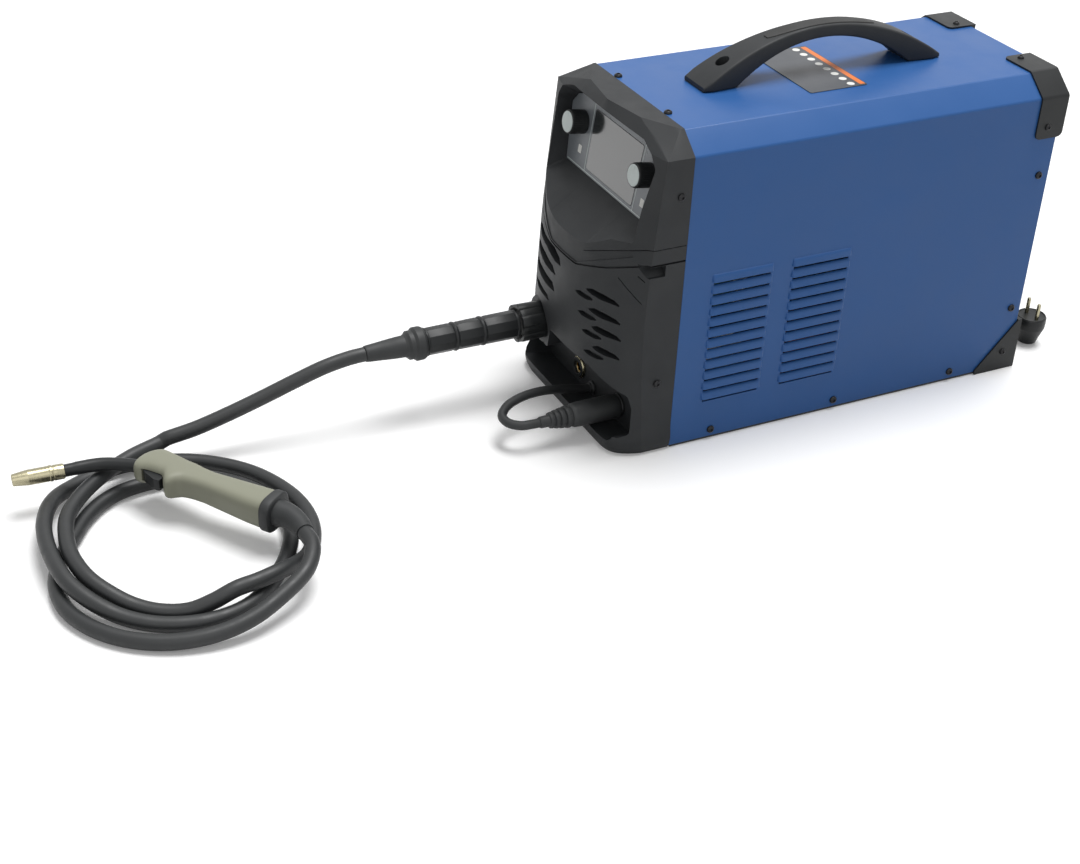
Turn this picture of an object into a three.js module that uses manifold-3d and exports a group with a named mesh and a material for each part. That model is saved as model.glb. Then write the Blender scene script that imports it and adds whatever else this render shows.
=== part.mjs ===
// Compact MIG welding machine with its torch, polarity lead and mains lead.
// Millimetres, +Z up. The front faces -Y. The origin is on the floor, in the middle of the case's width and
// CASE_FRONT behind the front end of its cover.
import * as THREE from 'three';
import Module from 'manifold-3d';

const wasm = await Module();
wasm.setup();

// ---------------------------------------------------------------- driving dimensions
const GAP = 0.3; // air between two pieces that meet
const SHEET = 1.5; // steel sheet

const CASE_HALF = 124; // half the width of the cover
const CASE_FRONT = 245; // how far the cover's front end is ahead of the origin
const CASE_REAR = 235.5; // and its rear end behind it
const CASE_LOW = 3.5; // lower edge of the cover
const CASE_TOP = 374; // flat top of the cover
const CHAMFER_X = 26.3;
const CHAMFER_Z = 21.3;

const LOUVRE_COUNT = 12;
const LOUVRE_PITCH = 13.4;
const LOUVRE_LENGTH = 76.8;
const LOUVRE_LOW = 55.5;
const LOUVRE_STARTS = [-208.6, -106.8];

const NOSE_REACH = 84; // how far the front moulding stands out in the middle
const EDGE_REACH = 44.5; // and at most at its sides
const MOULD_WALL = 3;

const KNOB_X = CASE_HALF - 48;
const KNOB_Z = CASE_TOP - 57;
const KNOB_RADIUS = 13.4;
const KNOB_LENGTH = 20.5;

const EURO_X = -55; // torch connector axis
const EURO_Z = 90;
const PLUS_X = 66.5; // socket that takes the polarity plug
const PLUS_Z = 32.5;
const MINUS_X = -30; // free socket for the work lead
const MINUS_Z = 30;
const LEAD_X = 3; // where the polarity lead comes out
const LEAD_Z = 20;
const POCKET_BACK = -279; // back wall of the socket pocket

const HOSE_RADIUS = 8.25;
const JUMPER_RADIUS = 5.3;
const MAINS_RADIUS = 4.5;

const DIVIDER_X = -8;
const SPOOL_Y = 87;
const SPOOL_Z = 232;

// ---------------------------------------------------------------- solids
const group = new THREE.Group();

function toSolid(points, triangles) {
  let volume = 0;
  for (const [a, b, c] of triangles) {
    const [p, q, r] = [points[a], points[b], points[c]];
    volume += p[0] * (q[1] * r[2] - q[2] * r[1]) + p[1] * (q[2] * r[0] - q[0] * r[2])
      + p[2] * (q[0] * r[1] - q[1] * r[0]);
  }
  const order = volume < 0 ? triangles.map(([a, b, c]) => [a, c, b]) : triangles;
  return new wasm.Manifold(new wasm.Mesh({
    numProp: 3,
    vertProperties: new Float32Array(points.flat()),
    triVerts: new Uint32Array(order.flat()),
  }));
}

// Triangles that close a ring of points, seen along its widest direction.
function capOf(ring, first) {
  const normal = [0, 0, 0];
  ring.forEach((p, i) => {
    const q = ring[(i + 1) % ring.length];
    normal[0] += (p[1] - q[1]) * (p[2] + q[2]);
    normal[1] += (p[2] - q[2]) * (p[0] + q[0]);
    normal[2] += (p[0] - q[0]) * (p[1] + q[1]);
  });
  const size = normal.map(Math.abs);
  const drop = size.indexOf(Math.max(...size));
  const [u, v] = [[1, 2], [2, 0], [0, 1]][drop];
  const flat = ring.map((p) => new THREE.Vector2(p[u], p[v]));
  return THREE.ShapeUtils.triangulateShape(flat, [])
    .map((t) => (normal[drop] > 0 ? t : [t[0], t[2], t[1]]).map((i) => i + first));
}

// A closed skin through rings that all have the same number of points.
function loft(rings) {
  const n = rings[0].length;
  const triangles = [];
  for (let k = 0; k + 1 < rings.length; k += 1) {
    for (let i = 0; i < n; i += 1) {
      const j = (i + 1) % n;
      const [a, b, c, d] = [k * n + i, k * n + j, (k + 1) * n + j, (k + 1) * n + i];
      triangles.push([a, b, c], [a, c, d]);
    }
  }
  const last = (rings.length - 1) * n;
  triangles.push(...capOf(rings[0], 0).map(([a, b, c]) => [a, c, b]));
  triangles.push(...capOf(rings[rings.length - 1], last));
  return toSolid(rings.flat(), triangles);
}

// Put a flat point and a height on the axes: along x the point is (y, z), along y (x, z), along z (x, y).
const PLACE = {
  x: ([u, v], w) => [w, u, v],
  y: ([u, v], w) => [u, w, v],
  z: ([u, v], w) => [u, v, w],
};

function prism(axis, outline, from, to) {
  return loft([outline.map((p) => PLACE[axis](p, from)), outline.map((p) => PLACE[axis](p, to))]);
}

function block([x0, x1], [y0, y1], [z0, z1]) {
  return prism('z', [[x0, y0], [x1, y0], [x1, y1], [x0, y1]], z0, z1);
}

function circle(u, v, radius, sides, turn = 0.5) {
  return Array.from({ length: sides }, (_, i) => {
    const a = ((i + turn) / sides) * 2 * Math.PI;
    return [u + radius * Math.cos(a), v + radius * Math.sin(a)];
  });
}

function rod(axis, u, v, radius, from, to, sides = 16) {
  return prism(axis, circle(u, v, radius, sides), from, to);
}

// A turned solid: the profile lists [radius, position along the axis].
function turned(axis, u, v, profile, sides = 16) {
  return loft(profile.map(([r, w]) => circle(u, v, r, sides).map((p) => PLACE[axis](p, w))));
}

// Move the sides of an anticlockwise convex outline inwards.
function shrink(outline, by) {
  const n = outline.length;
  const sides = outline.map((p, i) => {
    const q = outline[(i + 1) % n];
    const length = Math.hypot(q[0] - p[0], q[1] - p[1]);
    const normal = [-(q[1] - p[1]) / length, (q[0] - p[0]) / length];
    return { normal, offset: normal[0] * p[0] + normal[1] * p[1] + by };
  });
  return sides.map((s, i) => {
    const t = sides[(i + n - 1) % n];
    const det = t.normal[0] * s.normal[1] - t.normal[1] * s.normal[0];
    return [
      (t.offset * s.normal[1] - s.offset * t.normal[1]) / det,
      (t.normal[0] * s.offset - s.normal[0] * t.offset) / det,
    ];
  });
}

function union(...solids) {
  return solids.reduce((a, b) => a.add(b));
}

function cut(solid, ...holes) {
  return holes.reduce((a, b) => a.subtract(b), solid);
}

function addPart(name, solid, color, roughness = 0.6, metalness = 0) {
  const mesh = solid.getMesh();
  const geometry = new THREE.BufferGeometry();
  geometry.setAttribute('position', new THREE.BufferAttribute(new Float32Array(mesh.vertProperties), 3));
  geometry.setIndex(new THREE.BufferAttribute(new Uint32Array(mesh.triVerts), 1));
  geometry.computeVertexNormals();
  const part = new THREE.Mesh(geometry, new THREE.MeshStandardMaterial({ color, roughness, metalness }));
  part.name = name;
  group.add(part);
}

// ---------------------------------------------------------------- routes of the leads
// A smooth curve through the points, cut into even steps of about the given length.
function route(points, step) {
  const curve = new THREE.CatmullRomCurve3(points.map((p) => new THREE.Vector3(...p)), false, 'centripetal');
  curve.arcLengthDivisions = 2000;
  const count = Math.max(2, Math.round(curve.getLength() / step));
  return curve.getSpacedPoints(count).map((p) => [p.x, p.y, p.z]);
}

// A round section swept along a route that never stands upright; its end faces can be turned square to a direction.
function sweep(points, radiusAt, sides, first = null, last = null) {
  const at = points.map((p) => new THREE.Vector3(...p));
  const rings = at.map((p, i) => {
    const ahead = at[Math.min(i + 1, at.length - 1)].clone().sub(at[Math.max(i - 1, 0)]).normalize();
    if (first && i === 0) ahead.set(...first);
    if (last && i === at.length - 1) ahead.set(...last);
    const side = ahead.clone().cross(new THREE.Vector3(0, 0, 1)).normalize();
    const up = side.clone().cross(ahead);
    const radius = radiusAt(i / (at.length - 1));
    return circle(0, 0, radius, sides, sides === 6 ? 0 : 0.5).map(([u, v]) => {
      const q = p.clone().addScaledVector(side, u).addScaledVector(up, v);
      return [q.x, q.y, q.z];
    });
  });
  return loft(rings);
}

// The direction a route has at one of its points, and the route up to there, ending a gap early.
function headingAt(points, index) {
  const [p, q] = [points[index - 1], points[index + 1]];
  const length = Math.hypot(...p.map((c, k) => q[k] - c));
  return p.map((c, k) => (q[k] - c) / length);
}
function upTo(points, index) {
  const heading = headingAt(points, index);
  return [...points.slice(0, index), points[index].map((c, k) => c - GAP * heading[k])];
}

function lengthOf(points) {
  return points.slice(1).reduce((sum, p, i) => sum + Math.hypot(...p.map((c, k) => c - points[i][k])), 0);
}

// Distance between two straight pieces of a route.
function between(p1, q1, p2, q2) {
  const [a, b, c, d] = [p1, q1, p2, q2].map((p) => new THREE.Vector3(...p));
  const [u, v, w] = [b.clone().sub(a), d.clone().sub(c), a.clone().sub(c)];
  const [uu, uv, vv, uw, vw] = [u.dot(u), u.dot(v), v.dot(v), u.dot(w), v.dot(w)];
  const det = Math.max(uu * vv - uv * uv, 1e-9);
  let s = Math.min(1, Math.max(0, (uv * vw - vv * uw) / det));
  const t = Math.min(1, Math.max(0, (uv * s + vw) / vv));
  s = Math.min(1, Math.max(0, (uv * t - uw) / uu));
  return a.addScaledVector(u, s).distanceTo(c.addScaledVector(v, t));
}

// Least air between pieces of a tube that aren't neighbours along it.
function leastGap(points, radius) {
  const step = lengthOf(points) / (points.length - 1);
  const skip = Math.ceil((6 * radius) / step);
  let least = Infinity;
  for (let i = 0; i + 1 < points.length; i += 1) {
    for (let j = i + skip; j + 1 < points.length; j += 1) {
      least = Math.min(least, between(points[i], points[i + 1], points[j], points[j + 1]) - 2 * radius);
    }
  }
  return least;
}

// ---------------------------------------------------------------- cover, pan and panels
const caseOutline = [
  [-CASE_HALF, CASE_LOW],
  [CASE_HALF, CASE_LOW],
  [CASE_HALF, CASE_TOP - CHAMFER_Z],
  [CASE_HALF - CHAMFER_X, CASE_TOP],
  [-CASE_HALF + CHAMFER_X, CASE_TOP],
  [-CASE_HALF, CASE_TOP - CHAMFER_Z],
];
const caseInside = shrink(caseOutline, SHEET);
const COVER_FRONT = -CASE_FRONT + GAP;

const DOOR_Y = [-205, CASE_REAR - 49.5];
const DOOR_Z = [24, CASE_TOP - 40];
const DOOR_GAP = 1.2;
const HINGE_X = -CASE_HALF - 2.7;
const HINGE_Y = DOOR_Y[1] + 1.2;
const HINGE_RADIUS = 2.5;
const PIN_RADIUS = 1.3;
const HINGE_LOWS = [70, 270];
const KNUCKLE = 20;

function louvreShell(start, low) {
  const x = CASE_HALF;
  const outer = [[x - 1, low + 7.6], [x, low + 7.6], [x + 3.2, low], [x - 1, low]];
  const inner = [[x - 3, low + 5.2], [x, low + 5.2], [x + 2.2, low - 0.1], [x - 3, low - 0.1]];
  return {
    hood: prism('y', outer, start, start + LOUVRE_LENGTH),
    mouth: prism('y', inner, start + 1.2, start + LOUVRE_LENGTH - 1.2),
  };
}

const COVER_SCREWS = [
  [-191.4, 12.4], [-24.5, 12.4], [143.6, 13], [CASE_REAR - 14, 84.3], [CASE_REAR - 14.2, 257.8],
];
function buildCover() {
  let cover = cut(
    prism('y', caseOutline, COVER_FRONT, CASE_REAR),
    prism('y', [[-CASE_HALF + SHEET, -10], [CASE_HALF - SHEET, -10], ...caseInside.slice(2)],
      COVER_FRONT - 1, CASE_REAR + 1),
    block([-CASE_HALF - 1, -CASE_HALF + 5], DOOR_Y, DOOR_Z),
  );
  for (const start of LOUVRE_STARTS) {
    for (let i = 0; i < LOUVRE_COUNT; i += 1) {
      const { hood, mouth } = louvreShell(start, LOUVRE_LOW + i * LOUVRE_PITCH);
      cover = cover.add(hood).subtract(mouth);
    }
  }
  for (const low of HINGE_LOWS) {
    const from = low + KNUCKLE + GAP;
    const leaf = block([-CASE_HALF - 1.4, -CASE_HALF + 0.5], [HINGE_Y, HINGE_Y + 14], [from, from + KNUCKLE]);
    const barrel = rod('z', HINGE_X, HINGE_Y, HINGE_RADIUS, from, from + KNUCKLE, 12);
    cover = union(cover, leaf, barrel).subtract(
      rod('z', HINGE_X, HINGE_Y, PIN_RADIUS + GAP, from - 1, from + KNUCKLE + 1, 12),
    );
  }
  const screw = (face) => [[4.5, face - 0.5], [4.5, face + 1.4], [3, face + 3]];
  for (const [y, z] of COVER_SCREWS) cover = cover.add(turned('x', y, z, screw(CASE_HALF), 10));
  for (const x of [-55, 55]) cover = cover.add(turned('z', x, COVER_FRONT + 5, screw(CASE_TOP), 10));
  return cover;
}
addPart('cover', buildCover(), '#2f5597', 0.45, 0.1);

const PAN_HALF = CASE_HALF - SHEET - GAP;
const PAN_FRONT = -CASE_FRONT + 2.5;
const PAN_REAR = CASE_REAR - 0.5;
function buildPan() {
  const floor = block([-PAN_HALF, PAN_HALF], [PAN_FRONT, PAN_REAR], [0, SHEET]);
  const sides = [-1, 1].map((s) => block(
    s < 0 ? [-PAN_HALF, -PAN_HALF + SHEET] : [PAN_HALF - SHEET, PAN_HALF], [PAN_FRONT, PAN_REAR], [0, 19],
  ));
  const wall = prism('y', shrink([[-PAN_HALF, 0], [PAN_HALF, 0], ...shrink(caseInside, GAP).slice(2)], 0.01),
    PAN_FRONT, PAN_FRONT + SHEET);
  return cut(
    union(floor, ...sides, wall),
    rod('y', EURO_X, EURO_Z, 17, -260, -230, 20),
    rod('y', PLUS_X, PLUS_Z, 11, -260, -230, 16),
    rod('y', MINUS_X, MINUS_Z, 11, -260, -230, 16),
    rod('y', LEAD_X, LEAD_Z, 6, -260, -230, 12),
    block([-36, 36], [-260, -230], [290, 322]),
  );
}
addPart('base_pan', buildPan(), '#8f9296', 0.5, 0.7);

const DIVIDER_FRONT = PAN_FRONT + SHEET + GAP;
const PANEL_REAR = PAN_REAR - GAP;
const PANEL_FRONT = PANEL_REAR - SHEET;
const THROUGH = [PANEL_FRONT - 8, PANEL_REAR + 8]; // cuts through the rear panel
const FAN_X = 52;
const FAN_Z = 190;
const FAN_HALF = 46;
const SWITCH_X = 58;
const SWITCH_Z = 318;
const GAS_X = -62;
const GAS_Z = 62;
const GLAND_X = 20;
const GLAND_Z = 42;
const MOTOR_Y = -150;
const ROLLER_RADIUS = 15;
const IDLER_RADIUS = 11;
const WIRE_HALF = 0.5;
const ROLLER_Z = EURO_Z - ROLLER_RADIUS - WIRE_HALF;
const IDLER_Z = EURO_Z + IDLER_RADIUS + WIRE_HALF;
const MOTOR_RADIUS = 26;

function buildDivider() {
  const wall = block([DIVIDER_X, DIVIDER_X + SHEET], [DIVIDER_FRONT, PANEL_FRONT - GAP], [SHEET + GAP, CASE_TOP - 6]);
  const foot = block([DIVIDER_X, DIVIDER_X + 14], [DIVIDER_FRONT, PANEL_FRONT - GAP], [SHEET + GAP, 2 * SHEET + GAP]);
  return cut(
    wall.add(foot),
    rod('x', MOTOR_Y, ROLLER_Z, MOTOR_RADIUS + 2, -20, 5, 20),
    rod('x', SPOOL_Y, SPOOL_Z, 6 + GAP, -20, 5, 12),
  );
}
addPart('divider_panel', buildDivider(), '#8f9296', 0.5, 0.7);

function buildRearPanel() {
  const edge = shrink(caseInside, GAP);
  const outline = [[edge[0][0], SHEET + GAP], [edge[1][0], SHEET + GAP], ...edge.slice(2)];
  let panel = prism('y', outline, PANEL_FRONT, PANEL_REAR);
  panel = cut(
    panel,
    block([-CASE_HALF, -PAN_HALF + SHEET + GAP], THROUGH, [0, 19 + GAP]),
    block([PAN_HALF - SHEET - GAP, CASE_HALF], THROUGH, [0, 19 + GAP]),
    block([SWITCH_X - 14.5, SWITCH_X + 14.5], THROUGH, [SWITCH_Z - 11, SWITCH_Z + 11]),
    rod('y', GAS_X, GAS_Z, 6 + GAP, ...THROUGH, 12),
    rod('y', GLAND_X, GLAND_Z, 9 + GAP, ...THROUGH, 16),
  );
  for (let i = -4; i <= 4; i += 1) {
    const z = FAN_Z + i * 9;
    const half = Math.sqrt(42 ** 2 - (i * 9) ** 2);
    panel = panel.subtract(block([FAN_X - half, FAN_X + half], THROUGH, [z - 2.6, z + 2.6]));
  }
  return panel;
}
addPart('rear_panel', buildRearPanel(), '#3a3d42', 0.6, 0.2);

// ---------------------------------------------------------------- front moulding
// One level outline of the moulding: half width, reach at the edge and middle, and how flat it is.
function levelRing(z, half, edge, middle, power, inset = 0) {
  const rear = -CASE_FRONT + (inset ? 2 : 0);
  const wide = half - inset;
  const front = Array.from({ length: 15 }, (_, i) => {
    const s = Math.sin(((i - 7) / 14) * Math.PI);
    const y = -CASE_FRONT - edge - (middle - edge) * (1 - Math.abs(s) ** power) + inset;
    return [wide * s, y, z];
  });
  return [[-wide, rear, z], ...front, [wide, rear, z]];
}

const MOULD_HALF = CASE_HALF + 0.8;
const LEVELS = [
  [0, MOULD_HALF - 3, EDGE_REACH - 10, 69, 9],
  [5, MOULD_HALF, EDGE_REACH - 8.5, 71, 9],
  [34, MOULD_HALF, EDGE_REACH - 6.5, 75, 7],
  [74, MOULD_HALF, EDGE_REACH - 3.5, NOSE_REACH - 4, 4],
  [112, MOULD_HALF, EDGE_REACH - 1, NOSE_REACH, 2.8],
  [155, MOULD_HALF, EDGE_REACH, NOSE_REACH, 2.4],
  [232, MOULD_HALF, EDGE_REACH - 2.5, NOSE_REACH - 4, 2.2],
  [262, MOULD_HALF, EDGE_REACH - 4.5, NOSE_REACH - 10, 2.2],
  [CASE_TOP - CHAMFER_Z + 0.8, MOULD_HALF, 32, 45, 3],
  [CASE_TOP + 0.8, CASE_HALF - CHAMFER_X + 0.7, 3.5, 37.5, 3],
];

function mouldLoft(inset) {
  return loft(LEVELS.map(([z, half, edge, middle, power], i) => {
    const lift = i === LEVELS.length - 1 ? -inset : 0;
    return levelRing(z + lift, half, edge, middle, power, inset);
  }));
}
const mouldOuter = mouldLoft(0);
const mouldInner = mouldLoft(MOULD_WALL);

// Height of the joint between the two mouldings, which dips in the middle of the nose.
const SEAM = [[-200, 257], [-120, 254], [-80, 239], [-40, 223], [40, 223], [80, 239], [120, 254], [200, 257]];
function seamPrism(shift, far) {
  const line = SEAM.map(([x, z]) => [x, z + shift]);
  return prism('y', [...line, [200, far], [-200, far]], -400, -200);
}

const PANEL_LOW = [266, -273.5]; // z and y of the panel's face at its lower edge
const PANEL_LEAN = 8.5; // degrees that it leans back, and the knobs with it
const PANEL_SLOPE = Math.tan((PANEL_LEAN * Math.PI) / 180);
function panelY(z) {
  return PANEL_LOW[1] + (z - PANEL_LOW[0]) * PANEL_SLOPE;
}
// The right side of the panel and of the recess's mouth, from the bottom up.
const PANEL_SIDE = [[CASE_HALF - 25.5, PANEL_LOW[0]], [CASE_HALF - 16, CASE_TOP - 44], [CASE_HALF - 26, CASE_TOP - 32],
  [CASE_HALF - 46, CASE_TOP - 24]];
const MOUTH_SIDE = [[CASE_HALF - 14, 236], [CASE_HALF - 3, CASE_TOP - 2], [CASE_HALF - 16, CASE_TOP + 14],
  [CASE_HALF - 40, CASE_TOP + 22]];
function bothSides(side) {
  return [...side, ...side.map(([x, z]) => [-x, z]).reverse()];
}
const PANEL_OUTLINE = bothSides(PANEL_SIDE);
const RECESS_BACK = [...PANEL_OUTLINE, [-42, PANEL_LOW[0]], [42, PANEL_LOW[0]]];
const RECESS_MOUTH = [...bothSides(MOUTH_SIDE), [-42, 216], [42, 216]];
function recess() {
  return loft([
    RECESS_BACK.map(([x, z]) => [x, panelY(z) + 1.5, z]),
    RECESS_BACK.map(([x, z]) => [x, panelY(z), z]),
    RECESS_MOUTH.map(([x, z]) => [x, -345, z]),
  ]);
}
function recessShell() {
  const grow = (list, by) => list.map(([x, z], i) => [x + Math.sign(x) * by, z + (i > 0 && i < 7 ? by : -by)]);
  return loft([
    grow(RECESS_BACK, 3).map(([x, z]) => [x, panelY(z) + 3.4, z]),
    grow(RECESS_MOUTH, 3).map(([x, z]) => [x, -345, z]),
  ]);
}

function buildUpperMould() {
  const skin = mouldOuter.subtract(mouldInner.subtract(recessShell()));
  const shell = skin.intersect(seamPrism(0, 500)).subtract(recess());
  const screw = turned('x', -CASE_FRONT - 12.4, CASE_TOP - 62.5,
    [[3.8, MOULD_HALF - 0.6], [3.8, MOULD_HALF + 1.2], [2.4, MOULD_HALF + 2]], 10);
  return cut(
    shell.add(screw),
    rod('y', -KNOB_X, KNOB_Z, 5, -280, -240, 12),
    rod('y', KNOB_X, KNOB_Z, 5, -280, -240, 12),
    block([-50, 50], [-280, -240], [274, 336]),
  );
}

// The pocket of the sockets: its floor drops from the mouth to the back wall.
const POCKET_MOUTH = -360;
const POCKET_FLOOR = [9, 24];
function pocket(back, grow) {
  const outline = (floor) => [
    [-CASE_HALF + 20, floor], [CASE_HALF - 19, floor], [CASE_HALF - 15, floor + 5], [CASE_HALF - 15, 50],
    [CASE_HALF - 18.5, 65], [56, 95], [-20, 95], [-31, 66], [-CASE_HALF + 9, 62], [-CASE_HALF + 9, floor + 19],
  ].map(([x, z]) => [x + Math.sign(x) * grow, z + (z < 45 ? -grow : grow)]);
  return loft([
    outline(POCKET_FLOOR[0]).map(([x, z]) => [x, back, z]),
    outline(POCKET_FLOOR[1]).map(([x, z]) => [x, POCKET_MOUTH, z]),
  ]);
}
const BOSS_RADIUS = 28;
const BOSS_FRONT = -321;
const EURO_BORE = 17;
const SLOTS = [[36, 98, 178], [42, 101, 155.5], [50, 101, 134], [56, 101, 114]];

function buildLowerMould() {
  const pocketShell = pocket(POCKET_BACK + 3, 2.8);
  const boss = rod('y', EURO_X, EURO_Z, BOSS_RADIUS, POCKET_BACK + 3, BOSS_FRONT, 28);
  let shell = union(mouldOuter.subtract(mouldInner.subtract(pocketShell)), boss.intersect(mouldOuter));
  shell = shell.intersect(seamPrism(-0.5, -10));
  shell = shell.subtract(pocket(POCKET_BACK, 0));
  shell = shell.add(boss).subtract(rod('y', EURO_X, EURO_Z, BOSS_RADIUS, BOSS_FRONT, -360, 28));
  for (const [from, to, z] of SLOTS) {
    for (const side of [-1, 1]) {
      if (side < 0 && z < 140) continue;
      const lens = [[side * from, z - 1.5], [side * (to - 8), z], [side * to, z + 3.5], [side * (to - 14), z + 5.6],
        [side * (from + 6), z + 2.6]];
      shell = shell.subtract(prism('y', side < 0 ? lens.reverse() : lens, -350, -268));
    }
  }
  shell = shell.add(turned('x', -CASE_FRONT - 22.5, 90,
    [[3.8, MOULD_HALF - 0.6], [3.8, MOULD_HALF + 1.2], [2.4, MOULD_HALF + 2]], 10));
  return cut(
    shell,
    rod('y', EURO_X, EURO_Z, EURO_BORE, -400, -240, 20),
    rod('y', PLUS_X, PLUS_Z, 10.5, -300, -240, 16),
    rod('y', MINUS_X, MINUS_Z, 10.5, -300, -240, 16),
    rod('y', LEAD_X, LEAD_Z, 5.4, -300, -240, 12),
  );
}
addPart('front_bezel_upper', buildUpperMould(), '#2b2d2f', 0.7);
addPart('front_bezel_lower', buildLowerMould(), '#2b2d2f', 0.7);

// ---------------------------------------------------------------- control panel
// Pieces of the panel lean back with it: [low z, high z] and how far they stand off its face.
function leaning(outline, near, far) {
  return loft([near, far].map((off) => outline.map(([x, z]) => [x, panelY(z) - off, z])));
}
const WINDOW_OPENING = [[-52.5, PANEL_LOW[0] + 6], [52.5, PANEL_LOW[0] + 6], [54.5, CASE_TOP - 33],
  [-54.5, CASE_TOP - 33]];
function buildControlPanel() {
  const outline = shrink(PANEL_OUTLINE, GAP);
  const plate = leaning(outline, GAP, 2);
  return cut(
    plate,
    rod('y', -KNOB_X, KNOB_Z, 4, -290, -240, 12),
    rod('y', KNOB_X, KNOB_Z, 4, -290, -240, 12),
    leaning(WINDOW_OPENING, -5, 5),
  );
}
addPart('control_panel', buildControlPanel(), '#74777a', 0.5);

addPart('display_window', leaning(shrink(WINDOW_OPENING, GAP), GAP, 2.4), '#4a5056', 0.15);
const BOARD_STUDS = [[-44, 279], [44, 279], [-44, 331], [44, 331]];
addPart('display_board', union(
  block([-49, 49], [PAN_FRONT - 10, PAN_FRONT - 8.4], [274, 336]),
  block([-36, 36], [PAN_FRONT - 14, PAN_FRONT - 9], [290, 325]),
  ...BOARD_STUDS.map(([x, z]) => rod('y', x, z, 2.5, PAN_FRONT - 9, PAN_FRONT - GAP, 10)),
), '#2c5d3a', 0.6);

function buildKnob(x) {
  const face = -2 - GAP;
  const body = turned('y', 0, 0, [
    [KNOB_RADIUS, face], [KNOB_RADIUS, face - 3], [KNOB_RADIUS - 0.5, face - KNOB_LENGTH + 1],
    [KNOB_RADIUS - 1.2, face - KNOB_LENGTH],
  ], 20);
  const shaft = rod('y', 0, 0, 3, 12, face - 2, 12);
  const mark = block([-0.7, 0.7], [face - KNOB_LENGTH - 0.4, face - 4], [6, KNOB_RADIUS - 1.6]);
  return union(body, shaft, mark).rotate([-PANEL_LEAN, 0, 0]).translate([x, panelY(KNOB_Z), KNOB_Z]);
}
addPart('knob_left', buildKnob(-KNOB_X), '#232527', 0.55);
addPart('knob_right', buildKnob(KNOB_X), '#232527', 0.55);

// ---------------------------------------------------------------- handle, label and corner guards
const HANDLE_Y = [-176.4, 134.3];
const HANDLE_FOOT = 42;
const HANDLE_RISE = 53.5;
const HANDLE_THICK = 13.5;
const HANDLE_SEAT = CASE_TOP + GAP;

function arc(y0, y1, low, rise, steps) {
  const half = (y1 - y0) / 2;
  const radius = (half * half + rise * rise) / (2 * rise);
  return Array.from({ length: steps + 1 }, (_, i) => {
    const y = y0 + ((y1 - y0) * i) / steps;
    return [y, low + rise - radius + Math.sqrt(radius * radius - (y - y0 - half) ** 2)];
  });
}

const HANDLE_MID = (HANDLE_Y[0] + HANDLE_Y[1]) / 2;
function buildHandle() {
  const top = arc(HANDLE_Y[0], HANDLE_Y[1], HANDLE_SEAT + 5, HANDLE_RISE - 5, 14);
  const inner = arc(HANDLE_Y[0] + HANDLE_FOOT, HANDLE_Y[1] - HANDLE_FOOT, HANDLE_SEAT,
    HANDLE_RISE - HANDLE_THICK, 12);
  const side = [[HANDLE_Y[0], HANDLE_SEAT], ...inner, [HANDLE_Y[1], HANDLE_SEAT], ...[...top].reverse()];
  const steps = 12;
  const waist = (i) => 24 - 10.5 * Math.sin((i / steps) * Math.PI) ** 1.4;
  const yAt = (i) => HANDLE_Y[0] - 1 + ((HANDLE_Y[1] - HANDLE_Y[0] + 2) * i) / steps;
  const right = Array.from({ length: steps + 1 }, (_, i) => [waist(i), yAt(i)]);
  const plan = [...right, ...right.map(([x, y]) => [-x, y]).reverse()];
  let handle = prism('x', side, -26, 26).intersect(prism('z', plan, CASE_TOP - 50, CASE_TOP + 130));
  for (const y of [HANDLE_Y[0] + 33, HANDLE_Y[1] - 33]) {
    handle = handle.subtract(rod('z', 0, y, 7, HANDLE_SEAT + 8, CASE_TOP + 80, 16));
    handle = handle.subtract(rod('z', 0, y, 3, CASE_TOP - 50, CASE_TOP + 80, 10));
  }
  return handle;
}
addPart('carrying_handle', buildHandle(), '#2a2c2e', 0.6);
for (const [name, y] of [['handle_screw_front', HANDLE_Y[0] + 33], ['handle_screw_rear', HANDLE_Y[1] - 33]]) {
  addPart(name, turned('z', 0, y, [[2.6, HANDLE_SEAT + 1], [2.6, HANDLE_SEAT + 8 + GAP]], 10)
    .add(turned('z', 0, y, [[5.2, HANDLE_SEAT + 8 + GAP], [5.2, HANDLE_SEAT + 11], [3.6, HANDLE_SEAT + 12.6]], 12)),
  '#1c1d1f', 0.4, 0.6);
}
function buildGripPad() {
  const from = HANDLE_MID - 74;
  const to = HANDLE_MID + 74;
  const all = arc(HANDLE_Y[0], HANDLE_Y[1], HANDLE_SEAT + 5, HANDLE_RISE - 5, 14).filter(([y]) => y > from && y < to);
  const line = all.map(([y, z]) => [y, z + GAP]);
  const outline = [...line, ...line.map(([y, z]) => [y, z + 1.4]).reverse()];
  return prism('x', outline, -9.5, 9.5);
}
addPart('handle_grip_pad', buildGripPad(), '#1d1e20', 0.9);

const LABEL_Y = [-67, 7.3];
addPart('top_label', block([-62.5, 62.5], LABEL_Y, [CASE_TOP + GAP, CASE_TOP + GAP + 0.5]), '#5a5f63', 0.5);

const GUARD = 2;
const GUARD_FRONT = CASE_REAR - 32;
const GUARD_BACK = CASE_REAR + 6;
function guardBand(outer, inner) {
  return prism('y', outer, GUARD_FRONT, GUARD_BACK).subtract(prism('y', inner, GUARD_FRONT - 1, CASE_REAR + GAP));
}
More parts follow.
